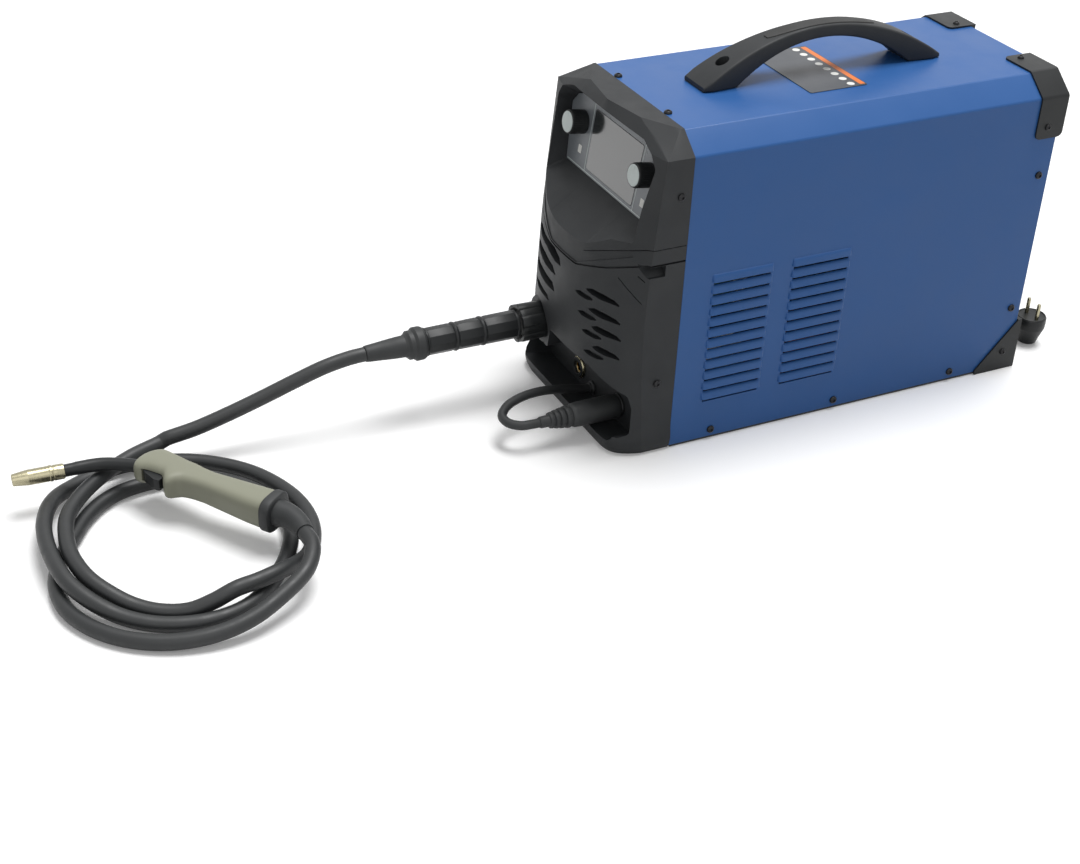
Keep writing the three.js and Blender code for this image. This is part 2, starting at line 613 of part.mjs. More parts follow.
// The upper guards wrap the top, the chamfer, the side and the rear of the cover's corner.
function buildUpperGuard(side) {
  const grow = (by) => shrink(caseOutline, -by);
  let guard = guardBand(grow(GUARD + GAP), grow(GAP));
  const spanX = (from, to) => (side > 0 ? [from, to] : [-to, -from]);
  guard = guard.intersect(block(spanX(CASE_HALF - 74, CASE_HALF + 20), [150, 300], [CASE_TOP - 70, CASE_TOP + 20]));
  guard = cut(
    guard,
    block(spanX(-30, CASE_HALF - 26), [CASE_REAR - 3, 300], [CASE_TOP - 84, CASE_TOP - 26]),
    block(spanX(0, CASE_HALF - 22), [CASE_REAR - 3, 300], [CASE_TOP - 84, CASE_TOP - 44]),
  );
  const screws = [
    turned('z', side * (CASE_HALF - 64), CASE_REAR - 15.5,
      [[4, CASE_TOP + 1], [4, CASE_TOP + 3.6], [2.6, CASE_TOP + 4.8]], 10),
    turned('x', CASE_REAR - 17, CASE_TOP - 56,
      [[4, side * (CASE_HALF + 1)], [4, side * (CASE_HALF + 3.6)], [2.6, side * (CASE_HALF + 4.8)]], 10),
  ];
  return union(guard, ...screws);
}
addPart('guard_top_right', buildUpperGuard(1), '#2b2d2f', 0.65);
addPart('guard_top_left', buildUpperGuard(-1), '#2b2d2f', 0.65);

function buildLowerGuard(side) {
  const x = CASE_HALF + GAP;
  const tip = CASE_REAR - 53.5;
  const plate = prism('x', [[tip, 0.3], [GUARD_BACK, 0.3], [GUARD_BACK, 66], [GUARD_BACK - 5, 66], [tip, 6]],
    side * x, side * (x + GUARD));
  const back = prism('y', [[side * (x + GUARD), 0.3], [side * (x + GUARD), 66], [side * (x - 12), 66],
    [side * (x - 66), 6], [side * (x - 66), 0.3]], CASE_REAR + GAP, GUARD_BACK);
  const screw = turned('x', CASE_REAR - 15.5, 25,
    [[4, side * (CASE_HALF + 1)], [4, side * (CASE_HALF + 3.6)], [2.6, side * (CASE_HALF + 4.8)]], 10);
  return union(plate, back, screw);
}
addPart('guard_bottom_right', buildLowerGuard(1), '#2b2d2f', 0.65);
addPart('guard_bottom_left', buildLowerGuard(-1), '#2b2d2f', 0.65);

// ---------------------------------------------------------------- sockets and rear fittings
function buildSocket(x, z) {
  const back = POCKET_BACK - GAP;
  return union(
    turned('y', x, z, [[13.5, back], [13.5, back - 2], [12.4, back - 3]], 20),
    rod('y', x, z, 10, back - 1, PAN_FRONT + SHEET + 22, 16),
  ).subtract(rod('y', x, z, 6.2, back - 5, back + 22, 14));
}
addPart('socket_plus', buildSocket(PLUS_X, PLUS_Z), '#3a3b3c', 0.5, 0.2);
addPart('socket_minus', buildSocket(MINUS_X, MINUS_Z), '#b08a3c', 0.35, 0.9);
addPart('lead_bushing', turned('y', LEAD_X, LEAD_Z, [[8, POCKET_BACK - GAP], [8, POCKET_BACK - 3], [6.4, POCKET_BACK - 6]], 14)
  .add(rod('y', LEAD_X, LEAD_Z, 5, POCKET_BACK - 1, PAN_FRONT + 0.6, 14))
  .subtract(rod('y', LEAD_X, LEAD_Z, 2.5, -300, -200, 12)), '#9a9da0', 0.3, 0.9);

const EURO_NUT_FRONT = -352.5;
addPart('euro_socket', turned('y', EURO_X, EURO_Z, [
  [13, EURO_NUT_FRONT + 12], [14, EURO_NUT_FRONT + 14], [14, BOSS_FRONT + 3], [EURO_BORE - 0.4, BOSS_FRONT + 6],
  [EURO_BORE - 0.4, POCKET_BACK + 8], [14, POCKET_BACK + 8], [14, -205],
], 20).subtract(rod('y', EURO_X, EURO_Z, 2, -400, -190, 10)), '#b08a3c', 0.35, 0.9);

function buildFanFrame() {
  const y = [PANEL_FRONT - GAP - 25, PANEL_FRONT - GAP];
  const frame = block([FAN_X - FAN_HALF, FAN_X + FAN_HALF], y, [FAN_Z - FAN_HALF, FAN_Z + FAN_HALF])
    .subtract(rod('y', FAN_X, FAN_Z, 43, y[0] - 1, y[1] + 1, 28));
  const core = rod('y', FAN_X, FAN_Z, 15, y[0], y[0] + 4, 20);
  const spokes = block([FAN_X - 44.5, FAN_X + 44.5], [y[0], y[0] + 3], [FAN_Z - 3, FAN_Z + 3]);
  const axle = rod('y', FAN_X, FAN_Z, 2, y[0] + 1, y[1] - 6, 10);
  return union(frame, core, spokes, axle);
}
addPart('fan_frame', buildFanFrame(), '#242628', 0.6);

function buildFanRotor() {
  const y = [PANEL_FRONT - GAP - 20, PANEL_FRONT - GAP - 3];
  let rotor = rod('y', FAN_X, FAN_Z, 16, y[0], y[1], 20);
  for (let i = 0; i < 7; i += 1) {
    const a = (i / 7) * 2 * Math.PI;
    const at = (r, off, yy) => [
      FAN_X + r * Math.cos(a) - off * Math.sin(a), yy, FAN_Z + r * Math.sin(a) + off * Math.cos(a),
    ];
    const section = (r, w) => [at(r, -w, y[0] + 1), at(r, -w + 1.5, y[0] + 1), at(r, w, y[1] - 1), at(r, w - 1.5, y[1] - 1)];
    rotor = rotor.add(loft([section(14, 6), section(41, 9)]));
  }
  return rotor.subtract(rod('y', FAN_X, FAN_Z, 2 + GAP, y[0] - 1, y[1] - 2, 10));
}
addPart('fan_rotor', buildFanRotor(), '#2f3133', 0.5);

const SWITCH_FACE = PANEL_REAR + GAP;
function buildSwitchHousing() {
  const body = block([SWITCH_X - 14, SWITCH_X + 14], [SWITCH_FACE - 29, SWITCH_FACE + 1], [SWITCH_Z - 10.5, SWITCH_Z + 10.5]);
  const flange = block([SWITCH_X - 16.5, SWITCH_X + 16.5], [SWITCH_FACE, SWITCH_FACE + 2], [SWITCH_Z - 12.5, SWITCH_Z + 12.5]);
  return union(body, flange).subtract(
    block([SWITCH_X - 12, SWITCH_X + 12], [SWITCH_FACE - 11, SWITCH_FACE + 5], [SWITCH_Z - 8.4, SWITCH_Z + 8.4]),
  );
}
addPart('switch_housing', buildSwitchHousing(), '#232527', 0.5);
const ROCKER_Y = SWITCH_FACE - 3;
function buildRocker() {
  const outline = [[-7.2, -1], [-6.8, 4.4], [0, 2.2], [7.4, 1.6], [7, -2.5], [3, -6], [-3, -6]];
  const turn = outline.map(([z, y]) => [ROCKER_Y + y, SWITCH_Z + z]);
  return prism('x', turn, SWITCH_X - 11.5, SWITCH_X + 11.5);
}
addPart('switch_rocker', buildRocker(), '#b3261e', 0.4);

addPart('gas_valve', union(
  block([GAS_X - 14, GAS_X + 14], [PANEL_FRONT - 47, PANEL_FRONT - 21], [GAS_Z - 14, GAS_Z + 14]),
  rod('z', GAS_X, PANEL_FRONT - 34, 12, GAS_Z + 12, GAS_Z + 42, 14),
  turned('y', GAS_X, GAS_Z, [[6, PANEL_FRONT - 22], [6, PANEL_REAR + 2]], 12),
  turned('y', GAS_X, GAS_Z, [[8.5, PANEL_REAR + GAP], [8.5, PANEL_REAR + 6]], 6),
  turned('y', GAS_X, GAS_Z, [[4.4, PANEL_REAR + 5], [4.4, PANEL_REAR + 10], [5.2, PANEL_REAR + 12],
    [4.4, PANEL_REAR + 16], [5.2, PANEL_REAR + 18], [3.8, PANEL_REAR + 24]], 12),
).subtract(rod('y', GAS_X, GAS_Z, 2.2, PANEL_FRONT - 42, PANEL_REAR + 60, 10)), '#b08a3c', 0.35, 0.9);

const MAINS_EXIT = PANEL_REAR + 34;
addPart('mains_gland', union(
  turned('y', GLAND_X, GLAND_Z, [[9, PANEL_FRONT - 10], [9, PANEL_REAR + 2]], 16),
  turned('y', GLAND_X, GLAND_Z, [[13, PANEL_REAR + GAP], [13, PANEL_REAR + 7]], 6),
  turned('y', GLAND_X, GLAND_Z, [[10.5, PANEL_REAR + 6], [9.5, PANEL_REAR + 14], [6, MAINS_EXIT]], 16),
), '#222426', 0.7);

// ---------------------------------------------------------------- what is inside
const BOARD_X = 24;
addPart('power_board', union(
  block([BOARD_X, BOARD_X + 1.6], [-190, 120], [110, 345]),
  block([BOARD_X + 1, BOARD_X + 26], [-180, -130], [250, 320]),
  block([BOARD_X + 1, BOARD_X + 31], [20, 60], [240, 290]),
  rod('x', -60, 300, 17, BOARD_X + 1, BOARD_X + 46, 14),
  rod('x', -20, 300, 17, BOARD_X + 1, BOARD_X + 46, 14),
  ...[[-180, 120], [-180, 335], [110, 120], [110, 335]].map(
    ([y, z]) => rod('x', y, z, 4, DIVIDER_X + SHEET + GAP, BOARD_X + 1, 10),
  ),
), '#2c5d3a', 0.6);
function buildHeatSink() {
  const base = block([BOARD_X + 1.6 + GAP, BOARD_X + 8], [-120, 40], [112, 232]);
  const fins = Array.from({ length: 8 }, (_, i) => block(
    [BOARD_X + 7, BOARD_X + 46], [-120, 40], [114 + i * 15.5, 117 + i * 15.5],
  ));
  return union(base, ...fins);
}
addPart('heat_sink', buildHeatSink(), '#c3c6c9', 0.4, 0.9);
addPart('output_choke', union(
  block([14, 84], [-70, 50], [SHEET + GAP, 84]),
  block([26, 72], [-88, 68], [16, 70]),
), '#6d3f22', 0.6);

const HUB_RADIUS = 24;
addPart('spool_hub', union(
  turned('x', SPOOL_Y, SPOOL_Z, [[6, 4], [6, DIVIDER_X - GAP - 1]], 12),
  turned('x', SPOOL_Y, SPOOL_Z, [[34, DIVIDER_X - GAP], [34, DIVIDER_X - 5], [HUB_RADIUS, DIVIDER_X - 5],
    [HUB_RADIUS, DIVIDER_X - 66], [14, DIVIDER_X - 67], [14, DIVIDER_X - 75]], 20),
), '#2a2c2e', 0.6);
const SPOOL_X = [DIVIDER_X - 62, DIVIDER_X - 7];
addPart('wire_spool', union(
  rod('x', SPOOL_Y, SPOOL_Z, 98, SPOOL_X[0], SPOOL_X[0] + 3, 32),
  rod('x', SPOOL_Y, SPOOL_Z, 98, SPOOL_X[1] - 3, SPOOL_X[1], 32),
  rod('x', SPOOL_Y, SPOOL_Z, 82, SPOOL_X[0] + 2, SPOOL_X[1] - 2, 28),
).subtract(rod('x', SPOOL_Y, SPOOL_Z, HUB_RADIUS + 1, -200, 50, 20)), '#c9a36a', 0.4, 0.6);

const FEED_PLATE_X = [DIVIDER_X - GAP - 6, DIVIDER_X - GAP];
const ARM_Y = MOTOR_Y + 34;
const ARM_Z = IDLER_Z + 4;
addPart('feeder_plate', union(
  block(FEED_PLATE_X, [MOTOR_Y - 46, MOTOR_Y + 46], [EURO_Z - 45, EURO_Z + 41]),
  rod('x', ARM_Y, ARM_Z, 3, EURO_X - 8, FEED_PLATE_X[0] + 1, 12),
  block([EURO_X - 7, FEED_PLATE_X[0] + 1], [MOTOR_Y - 46, MOTOR_Y - 38], [EURO_Z - 45, EURO_Z - 9]),
).subtract(rod('x', MOTOR_Y, ROLLER_Z, 8, -40, 10, 14)), '#c3c6c9', 0.4, 0.9);
addPart('feed_motor', union(
  rod('x', MOTOR_Y, ROLLER_Z, MOTOR_RADIUS, DIVIDER_X - GAP + 0.3, 70, 20),
  rod('x', MOTOR_Y, ROLLER_Z, 7, FEED_PLATE_X[0] - 2, DIVIDER_X + 1, 12),
  rod('x', MOTOR_Y, ROLLER_Z, 3.5, EURO_X - 10, FEED_PLATE_X[0], 12),
), '#3b3e42', 0.4, 0.7);
function grooved(y, z, radius, from, to, bore) {
  return turned('x', y, z, [[radius, from], [radius, EURO_X - 1.5], [radius - 0.8, EURO_X], [radius, EURO_X + 1.5],
    [radius, to]], 24).subtract(rod('x', y, z, bore, -200, 100, 14));
}
addPart('drive_roller', grooved(MOTOR_Y, ROLLER_Z, ROLLER_RADIUS, EURO_X - 6, EURO_X + 6, 3.5 + GAP), '#b9bcc0', 0.3, 0.9);
addPart('idler_roller', grooved(MOTOR_Y, IDLER_Z, IDLER_RADIUS, EURO_X - 5, EURO_X + 5, 2.5 + GAP), '#b9bcc0', 0.3, 0.9);
function buildArm() {
  const outline = [[MOTOR_Y - 8, IDLER_Z - 6], [ARM_Y - 6, ARM_Z - 8], [ARM_Y + 6, ARM_Z - 8], [ARM_Y + 7, ARM_Z + 6],
    [ARM_Y - 4, ARM_Z + 10], [MOTOR_Y - 20, IDLER_Z + 10], [MOTOR_Y - 20, IDLER_Z + 2]];
  const cheek = prism('x', outline, EURO_X + 6, EURO_X + 12);
  const pin = rod('x', MOTOR_Y, IDLER_Z, 2.5, EURO_X - 6, EURO_X + 7, 12);
  const knob = rod('z', EURO_X + 9, MOTOR_Y - 14, 8, IDLER_Z + 8, IDLER_Z + 34, 14);
  return union(cheek, pin, knob).subtract(rod('x', ARM_Y, ARM_Z, 3 + GAP, -200, 50, 14));
}
addPart('pressure_arm', buildArm(), '#303236', 0.5);
addPart('wire_guide', union(
  rod('y', EURO_X, EURO_Z, 6, MOTOR_Y + 20, MOTOR_Y + 26, 14),
  rod('y', EURO_X, EURO_Z, 3, MOTOR_Y + 20, MOTOR_Y + 70, 12),
  block([EURO_X, FEED_PLATE_X[0] - GAP], [MOTOR_Y + 21, MOTOR_Y + 25], [EURO_Z - 4, EURO_Z + 4]),
).subtract(rod('y', EURO_X, EURO_Z, 1, -300, 50, 8)), '#c3c6c9', 0.4, 0.9);

// ---------------------------------------------------------------- spool door
function buildDoor() {
  const y = [DOOR_Y[0] + DOOR_GAP, DOOR_Y[1] - DOOR_GAP];
  const z = [DOOR_Z[0] + DOOR_GAP, DOOR_Z[1] - DOOR_GAP];
  const x = [-CASE_HALF, -CASE_HALF + SHEET];
  const skin = block(x, y, z);
  const rim = block([x[1] - 0.5, x[1] + 5], [y[0] + 26, y[1] - 16], [z[0] + 16, z[1] - 16])
    .subtract(block([x[0] - 1, x[1] + 9], [y[0] + 28, y[1] - 18], [z[0] + 18, z[1] - 18]));
  let door = union(skin, rim);
  for (const low of HINGE_LOWS) {
    door = union(
      door,
      block([-CASE_HALF - 1.4, -CASE_HALF - GAP], [HINGE_Y - 15, HINGE_Y], [low, low + KNUCKLE]),
      block([-CASE_HALF - 1, -CASE_HALF + 0.5], [HINGE_Y - 15, y[1]], [low, low + KNUCKLE]),
      rod('z', HINGE_X, HINGE_Y, HINGE_RADIUS, low, low + KNUCKLE, 12),
      rod('z', HINGE_X, HINGE_Y, PIN_RADIUS, low + 1, low + 2 * KNUCKLE, 12),
    );
  }
  for (const latchZ of LATCH_ZS) door = door.subtract(rod('x', LATCH_Y, latchZ, 8 + GAP, -200, -100, 16));
  return door;
}
const LATCH_Y = DOOR_Y[0] + 16;
const LATCH_ZS = [100, 258];
addPart('spool_door', buildDoor(), '#2f5597', 0.45, 0.1);
for (const [name, z] of [['door_latch_lower', LATCH_ZS[0]], ['door_latch_upper', LATCH_ZS[1]]]) {
  addPart(name, turned('x', LATCH_Y, z, [[6.8, -CASE_HALF - 3.4], [8, -CASE_HALF - 2.4], [8, -CASE_HALF + SHEET + GAP],
    [9.5, -CASE_HALF + SHEET + GAP], [9.5, -CASE_HALF + SHEET + 2]], 16), '#242628', 0.5);
}

// ---------------------------------------------------------------- torch connector and hose
function buildNut() {
  const y = [EURO_NUT_FRONT, BOSS_FRONT - GAP];
  let nut = turned('y', EURO_X, EURO_Z, [[20.5, y[0]], [22.5, y[0] + 3], [22.5, y[1]]], 24);
  for (let i = 0; i < 6; i += 1) {
    const a = ((i + 0.5) / 6) * 2 * Math.PI;
    const rib = circle(EURO_X + 22 * Math.cos(a), EURO_Z + 22 * Math.sin(a), 2.6, 8);
    nut = nut.add(prism('y', rib, y[0] + 1, y[1]));
  }
  return nut.subtract(rod('y', EURO_X, EURO_Z, 15.2, y[0] - 1, y[1] + 1, 20));
}
addPart('connector_nut', buildNut(), '#26282a', 0.6);

const GRIP_FRONT = -467.5;
function buildConnectorGrip() {
  const back = EURO_NUT_FRONT - GAP;
  let grip = turned('y', EURO_X, EURO_Z, [[16.4, back], [16.4, GRIP_FRONT]], 20);
  for (const off of [10, 46, 80]) {
    grip = grip.add(rod('y', EURO_X, EURO_Z, 17.4, EURO_NUT_FRONT - off, EURO_NUT_FRONT - off - 4, 20));
  }
  return union(grip, rod('y', EURO_X, EURO_Z, 12.5, back - 2, back + 11.5, 16));
}
addPart('connector_grip', buildConnectorGrip(), '#26282a', 0.6);

const RELIEF_END = -539;
addPart('connector_relief', turned('y', EURO_X, EURO_Z, [
  [17.6, GRIP_FRONT - GAP], [19.4, GRIP_FRONT - 3], [19.4, GRIP_FRONT - 12], [16, GRIP_FRONT - 17],
  [16, GRIP_FRONT - 22], [12.4, GRIP_FRONT - 24], [9.2, RELIEF_END],
], 18), '#26282a', 0.7);

// The loose stretch from the connector down to the floor.
const HOSE_FALL = [
  [EURO_X, RELIEF_END - GAP, EURO_Z], [EURO_X, RELIEF_END - 18, EURO_Z - 1], [-55.3, -585.5, 84], [-57, -617, 73.5],
  [-58.8, -656, 59.5], [-59.8, -695, 47], [-61.5, -733, 36], [-64.2, -768.6, 28.2],
];
// The loops, as turn in degrees, radius and height around their middle.
const COIL_X = 101.6;
const COIL_Y = -790.6;
const COIL_TURN = 1.65; // degrees that all of them are turned
const REST = HOSE_RADIUS + 0.1;
const OVER = 25.7;
const COIL = [
  [171, 168, 26.5], [185, 152, OVER], [202, 138, OVER], [220, 129.5, OVER], [236, 125, OVER], [253, 119, OVER],
  [269, 117, OVER], [287, 117, 24], [300, 115, 19], [314, 112.5, 11.5], [328, 112, 8.6], [342, 112, 10], [354, 111.5, 17],
  [366, 112, 25], [378, 114.5, OVER], [390, 118, 24.6], [402, 120, 18], [415, 123, 11], [430, 125, REST],
  [446, 127, REST], [466, 130, REST], [492, 138, REST], [513, 147, REST], [528, 154, REST], [545, 164, REST],
  [556, 166, REST], [568, 164, 10.5], [580, 158.5, 17.5], [591, 151, 23.5], [604, 143.5, OVER], [620, 136.5, OVER],
  [640, 135.5, OVER], [650, 135.5, 23], [662, 134, 17.5], [674, 132, 11.5], [688, 130.6, REST], [704, 130, REST],
  [718, 127, REST], [730, 122, REST], [742, 114, REST], [756, 106, REST], [775, 102, REST], [800, 103, REST],
  [830, 108, REST], [860, 114, REST], [890, 120, REST], [914, 122, REST], [929, 121, REST], [945, 118, REST],
  [958, 117, REST], [972, 122, REST], [985, 131, REST], [998, 141, REST], [1012, 150, REST], [1026, 155, REST],
  [1040, 157.5, REST], [1055, 158, 9.5], [1070, 157, 13], [1084, 154.5, 19], [1098, 150, 27],
];
const TORCH_Z = 42;
const TORCH_HEADING = (217.15 * Math.PI) / 180; // from the hose end of the handle towards its front
const TORCH_BACK = [131.4, -704.6];
const CONE_TIP = [173.4, -691.5, TORCH_Z];
const HOSE_END = [[223.3, -708.1, 35], [202.9, -694.2, 40.5], [186.7, -690.6, TORCH_Z], [CONE_TIP[0] + 8, CONE_TIP[1] + 0.2, TORCH_Z],
  [CONE_TIP[0] + GAP, CONE_TIP[1], TORCH_Z]];
const coilPoints = [
  ...COIL.map(([turn, radius, z]) => {
    const a = ((turn + COIL_TURN) * Math.PI) / 180;
    return [COIL_X + radius * Math.cos(a), COIL_Y + radius * Math.sin(a), z];
  }),
  ...HOSE_END,
];
const hoseRoute = route([...HOSE_FALL, ...coilPoints], 12);
const hoseLength = lengthOf(hoseRoute);
const FREE_STEPS = 21;
const COIL_STEP = 27;
const coilRoute = route(hoseRoute.slice(FREE_STEPS), COIL_STEP);
const hoseTurn = headingAt(hoseRoute, FREE_STEPS);
addPart('torch_hose', sweep(upTo(hoseRoute, FREE_STEPS), () => HOSE_RADIUS, 12, [0, -1, 0], hoseTurn), '#232425', 0.7);
addPart('torch_hose_coil', sweep(coilRoute, () => HOSE_RADIUS, 6, hoseTurn, [-1, 0, 0]), '#232425', 0.7);
console.log(`torch hose ${hoseLength.toFixed(0)} mm, loops clear by ${leastGap(hoseRoute, HOSE_RADIUS).toFixed(2)} mm`);
console.log(`coil as built clears itself by ${leastGap(coilRoute, HOSE_RADIUS).toFixed(2)} mm`);

// ---------------------------------------------------------------- torch
// Plan frame of the torch: u runs from the hose end to the front, v towards the trigger.
const along = [Math.cos(TORCH_HEADING), Math.sin(TORCH_HEADING)];
const across = [Math.cos(TORCH_HEADING + Math.PI / 2), Math.sin(TORCH_HEADING + Math.PI / 2)];
function torchPoint(u, v) {
  return [TORCH_BACK[0] + u * along[0] + v * across[0], TORCH_BACK[1] + u * along[1] + v * across[1]];
}
// A section of the handle across u: from v0 to v1, half as thick as given, with rounded corners.
function gripRing(u, v0, v1, half) {
  const [mid, wide] = [(v0 + v1) / 2, (v1 - v0) / 2];
  return Array.from({ length: 12 }, (_, i) => {
    const a = ((i + 0.5) / 12) * 2 * Math.PI;
    const round = (c) => Math.sign(c) * Math.abs(c) ** 0.62;
    const [x, y] = torchPoint(u, mid + wide * round(Math.cos(a)));
    return [x, y, TORCH_Z + half * round(Math.sin(a))];
  });
}
const GRIP = [
  [12, -18.5, 18.5, 17.5], [30, -18, 18, 17], [60, -16.5, 15, 16], [86, -15.5, 12.5, 15], [100, -17, 13, 15],
  [112, -19.5, 15, 15.5], [122, -21, 27, 15.5], [128, -21.5, 20, 15.5], [134, -22, 12.5, 15.5], [150, -24.5, 12.5, 15.5],
  [158, -26, 13.5, 15], [166, -20, 17.5, 14], [170, -12, 14, 12],
];
const NECK_START = 168;
const TRIGGER_U = [132, 158];
const TRIGGER_V = 12.5;
const torchGrip = loft(GRIP.map(([u, v0, v1, half]) => gripRing(u, v0, v1, half)));
function torchBlock([u0, u1], [v0, v1], half) {
  const outline = [[u0, v0], [u1, v0], [u1, v1], [u0, v1]].map(([u, v]) => torchPoint(u, v));
  return prism('z', outline, TORCH_Z - half, TORCH_Z + half);
}
const NECK_RADIUS = 7.2;
const NECK_END = [-25.2, -883.3];
const neckPath = [
  [...torchPoint(NECK_START - 7, 2.2), TORCH_Z], [...torchPoint(NECK_START - 1, 2.5), TORCH_Z],
  [...torchPoint(NECK_START + 10, 4.5), TORCH_Z],
  ...[[3.6, 41.1], [1, 28], [0.4, 15], [0, 0]].map(([x, y]) => [NECK_END[0] + x, NECK_END[1] + y, TORCH_Z]),
];
const neckRoute = route(neckPath, 8);
addPart('torch_handle', cut(
  torchGrip,
  torchBlock([TRIGGER_U[0] - 1.6, TRIGGER_U[1] + 1.5], [TRIGGER_V - 9, 60], 7.3),
  sweep(route([[...torchPoint(NECK_START - 8, 2.2), TORCH_Z], ...neckPath.slice(1, 4)], 8), () => NECK_RADIUS + GAP, 12),
), '#74756a', 0.6);
addPart('torch_neck', sweep(neckRoute, () => NECK_RADIUS, 12), '#1f2021', 0.6);

const NOZZLE_DIR = [-0.0512, -0.9987];
function nozzleRing(distance, radius) {
  const [cx, cy] = [NECK_END[0] + NOZZLE_DIR[0] * distance, NECK_END[1] + NOZZLE_DIR[1] * distance];
  return circle(0, 0, radius, 16).map(([u, v]) => [cx - NOZZLE_DIR[1] * u, cy + NOZZLE_DIR[0] * u, TORCH_Z + v]);
}
const nozzleOuter = loft([[GAP, 8.4], [12, 8.4], [12.4, 8.9], [38, 8.4], [53, 6.4]].map((p) => nozzleRing(...p)));
const nozzleBore = loft([[4, 7.2], [38, 7.2], [54, 5.2]].map((p) => nozzleRing(...p)));
addPart('gas_nozzle', nozzleOuter.subtract(nozzleBore).subtract(loft([[-1, 4.4], [6, 4.4]].map((p) => nozzleRing(...p)))),
  '#b9b09a', 0.35, 0.9);
addPart('contact_tip', loft([[GAP, 4], [26, 4], [28, 3], [48, 2.4], [50, 1.6]].map((p) => nozzleRing(...p))),
  '#b06a3a', 0.35, 0.9);

const PIVOT_U = TRIGGER_U[1] - 2.5;
function buildTrigger() {
  const outline = [[TRIGGER_U[0], TRIGGER_V - 3], [TRIGGER_U[0], TRIGGER_V + 9], [TRIGGER_U[0] + 6, TRIGGER_V + 9.5],
    [TRIGGER_U[1] - 6, TRIGGER_V + 4.5], [TRIGGER_U[1], TRIGGER_V + 1], [TRIGGER_U[1], TRIGGER_V - 6], [TRIGGER_U[1] - 6, TRIGGER_V - 6]];
  return prism('z', outline.map(([u, v]) => torchPoint(u, v)), TORCH_Z - 6.6, TORCH_Z + 6.6);
}
addPart('torch_trigger', buildTrigger(), '#1c1d1e', 0.5);
console.log(`trigger pivot ${torchPoint(PIVOT_U, TRIGGER_V - 3).map((c) => c.toFixed(2)).join(' ')}`);

const conePath = route([[...torchPoint(2, 0), TORCH_Z], [...torchPoint(-12, 0), TORCH_Z],
  [CONE_TIP[0] - 16.6, CONE_TIP[1] - 0.9, TORCH_Z], CONE_TIP], 8);
addPart('torch_relief', union(
  loft([[0, 19.8], [9, 20.2], [12 - GAP, 19.6]].map(([u, r]) => gripRing(u, -r, r, r * 0.95))),
  sweep(conePath, (t) => 14.5 - 5.3 * t, 14, null, [1, 0, 0]),
), '#26282a', 0.75);

// ---------------------------------------------------------------- polarity lead
const DINSE_BACK = POCKET_BACK - GAP - 3 - GAP;
const BOOT_END = -380;
addPart('polarity_plug', union(
  turned('y', PLUS_X, PLUS_Z, [[5.8, DINSE_BACK + 18], [5.8, DINSE_BACK - 4]], 14),
  turned('y', PLUS_X, PLUS_Z, [[13.6, DINSE_BACK], [14.4, DINSE_BACK - 6], [14, -340], [13, -343.5], [12.4, -346],
    [12.8, -349], [11.2, -351.5], [11.6, -355], [9.8, -358], [10.2, -361], [8.4, -364], [8.6, -368], [6.4, BOOT_END]], 20),
), '#2a2c2d', 0.75);
const leadStart = [LEAD_X, POCKET_BACK - 6 - GAP, LEAD_Z];
const LEAD_ROUTE = [
  leadStart, [LEAD_X, leadStart[1] - 7, LEAD_Z + 0.4], [LEAD_X + 1, leadStart[1] - 18, LEAD_Z + 4],
  [7, -325, 30], [13, -352, 37], [19, -379, 39], [27, -401, 36.5], [40, -413, 33.6], [54, -412, PLUS_Z + 0.3],
  [64, -401.5, PLUS_Z], [PLUS_X - 0.2, BOOT_END - 8, PLUS_Z], [PLUS_X, BOOT_END - GAP, PLUS_Z],
];
const leadRoute = route(LEAD_ROUTE, 8);
addPart('polarity_lead', sweep(leadRoute, () => JUMPER_RADIUS, 10, [0, -1, 0], [0, 1, 0]), '#2a2c2d', 0.75);
console.log(`polarity lead ${lengthOf(leadRoute).toFixed(0)} mm`);

// ---------------------------------------------------------------- mains lead, put away behind the machine
const MAINS_X = -92;
const MAINS_Y = CASE_REAR + 86.5;
const LOOP_RADIUS = 52;
const MAINS_LOOPS = 4.5;
const MAINS_PITCH = 2 * MAINS_RADIUS + 0.9;
const MAINS_REST = MAINS_RADIUS + 0.1;
const PLUG_X = 82.5;
const PLUG_Y = CASE_REAR + 63;
const PLUG_EXIT = [PLUG_X - 34, PLUG_Y, 11];
// From the gland to the top of the loops, down through them, and out along the floor to the plug.
const MAINS_DROP = [
  [GLAND_X, MAINS_EXIT + GAP, GLAND_Z], [GLAND_X, MAINS_EXIT + 12, GLAND_Z + 0.2], [GLAND_X - 5, MAINS_EXIT + 40, 43.5],
  [GLAND_X - 20, MAINS_EXIT + 68, 45.5], [GLAND_X - 45, MAINS_EXIT + 90, 47.2], [MAINS_X + 37, MAINS_Y + LOOP_RADIUS - 2, 48.5],
];
const LOOP_STEPS = 24;
const mainsLoops = Array.from({ length: Math.round(MAINS_LOOPS * LOOP_STEPS) + 1 }, (_, i) => {
  const turns = i / LOOP_STEPS;
  const a = Math.PI / 2 + turns * 2 * Math.PI;
  return [MAINS_X + LOOP_RADIUS * Math.cos(a), MAINS_Y + LOOP_RADIUS * Math.sin(a),
    MAINS_REST + MAINS_PITCH * (MAINS_LOOPS - turns)];
});
const MAINS_TAIL = [
  [MAINS_X + 34, MAINS_Y - LOOP_RADIUS + 1, MAINS_REST], [MAINS_X + 74, MAINS_Y - LOOP_RADIUS + 8, MAINS_REST],
  [PLUG_EXIT[0] - 34, PLUG_Y - 2.5, MAINS_REST + 2], [PLUG_EXIT[0] - 9, PLUG_Y, PLUG_EXIT[2] - 0.2],
  [PLUG_EXIT[0] - GAP, PLUG_Y, PLUG_EXIT[2]],
];
const mainsRoute = route([...MAINS_DROP, ...mainsLoops, ...MAINS_TAIL], 13);
const MAINS_FREE = 15;
const mainsTurn = headingAt(mainsRoute, MAINS_FREE);
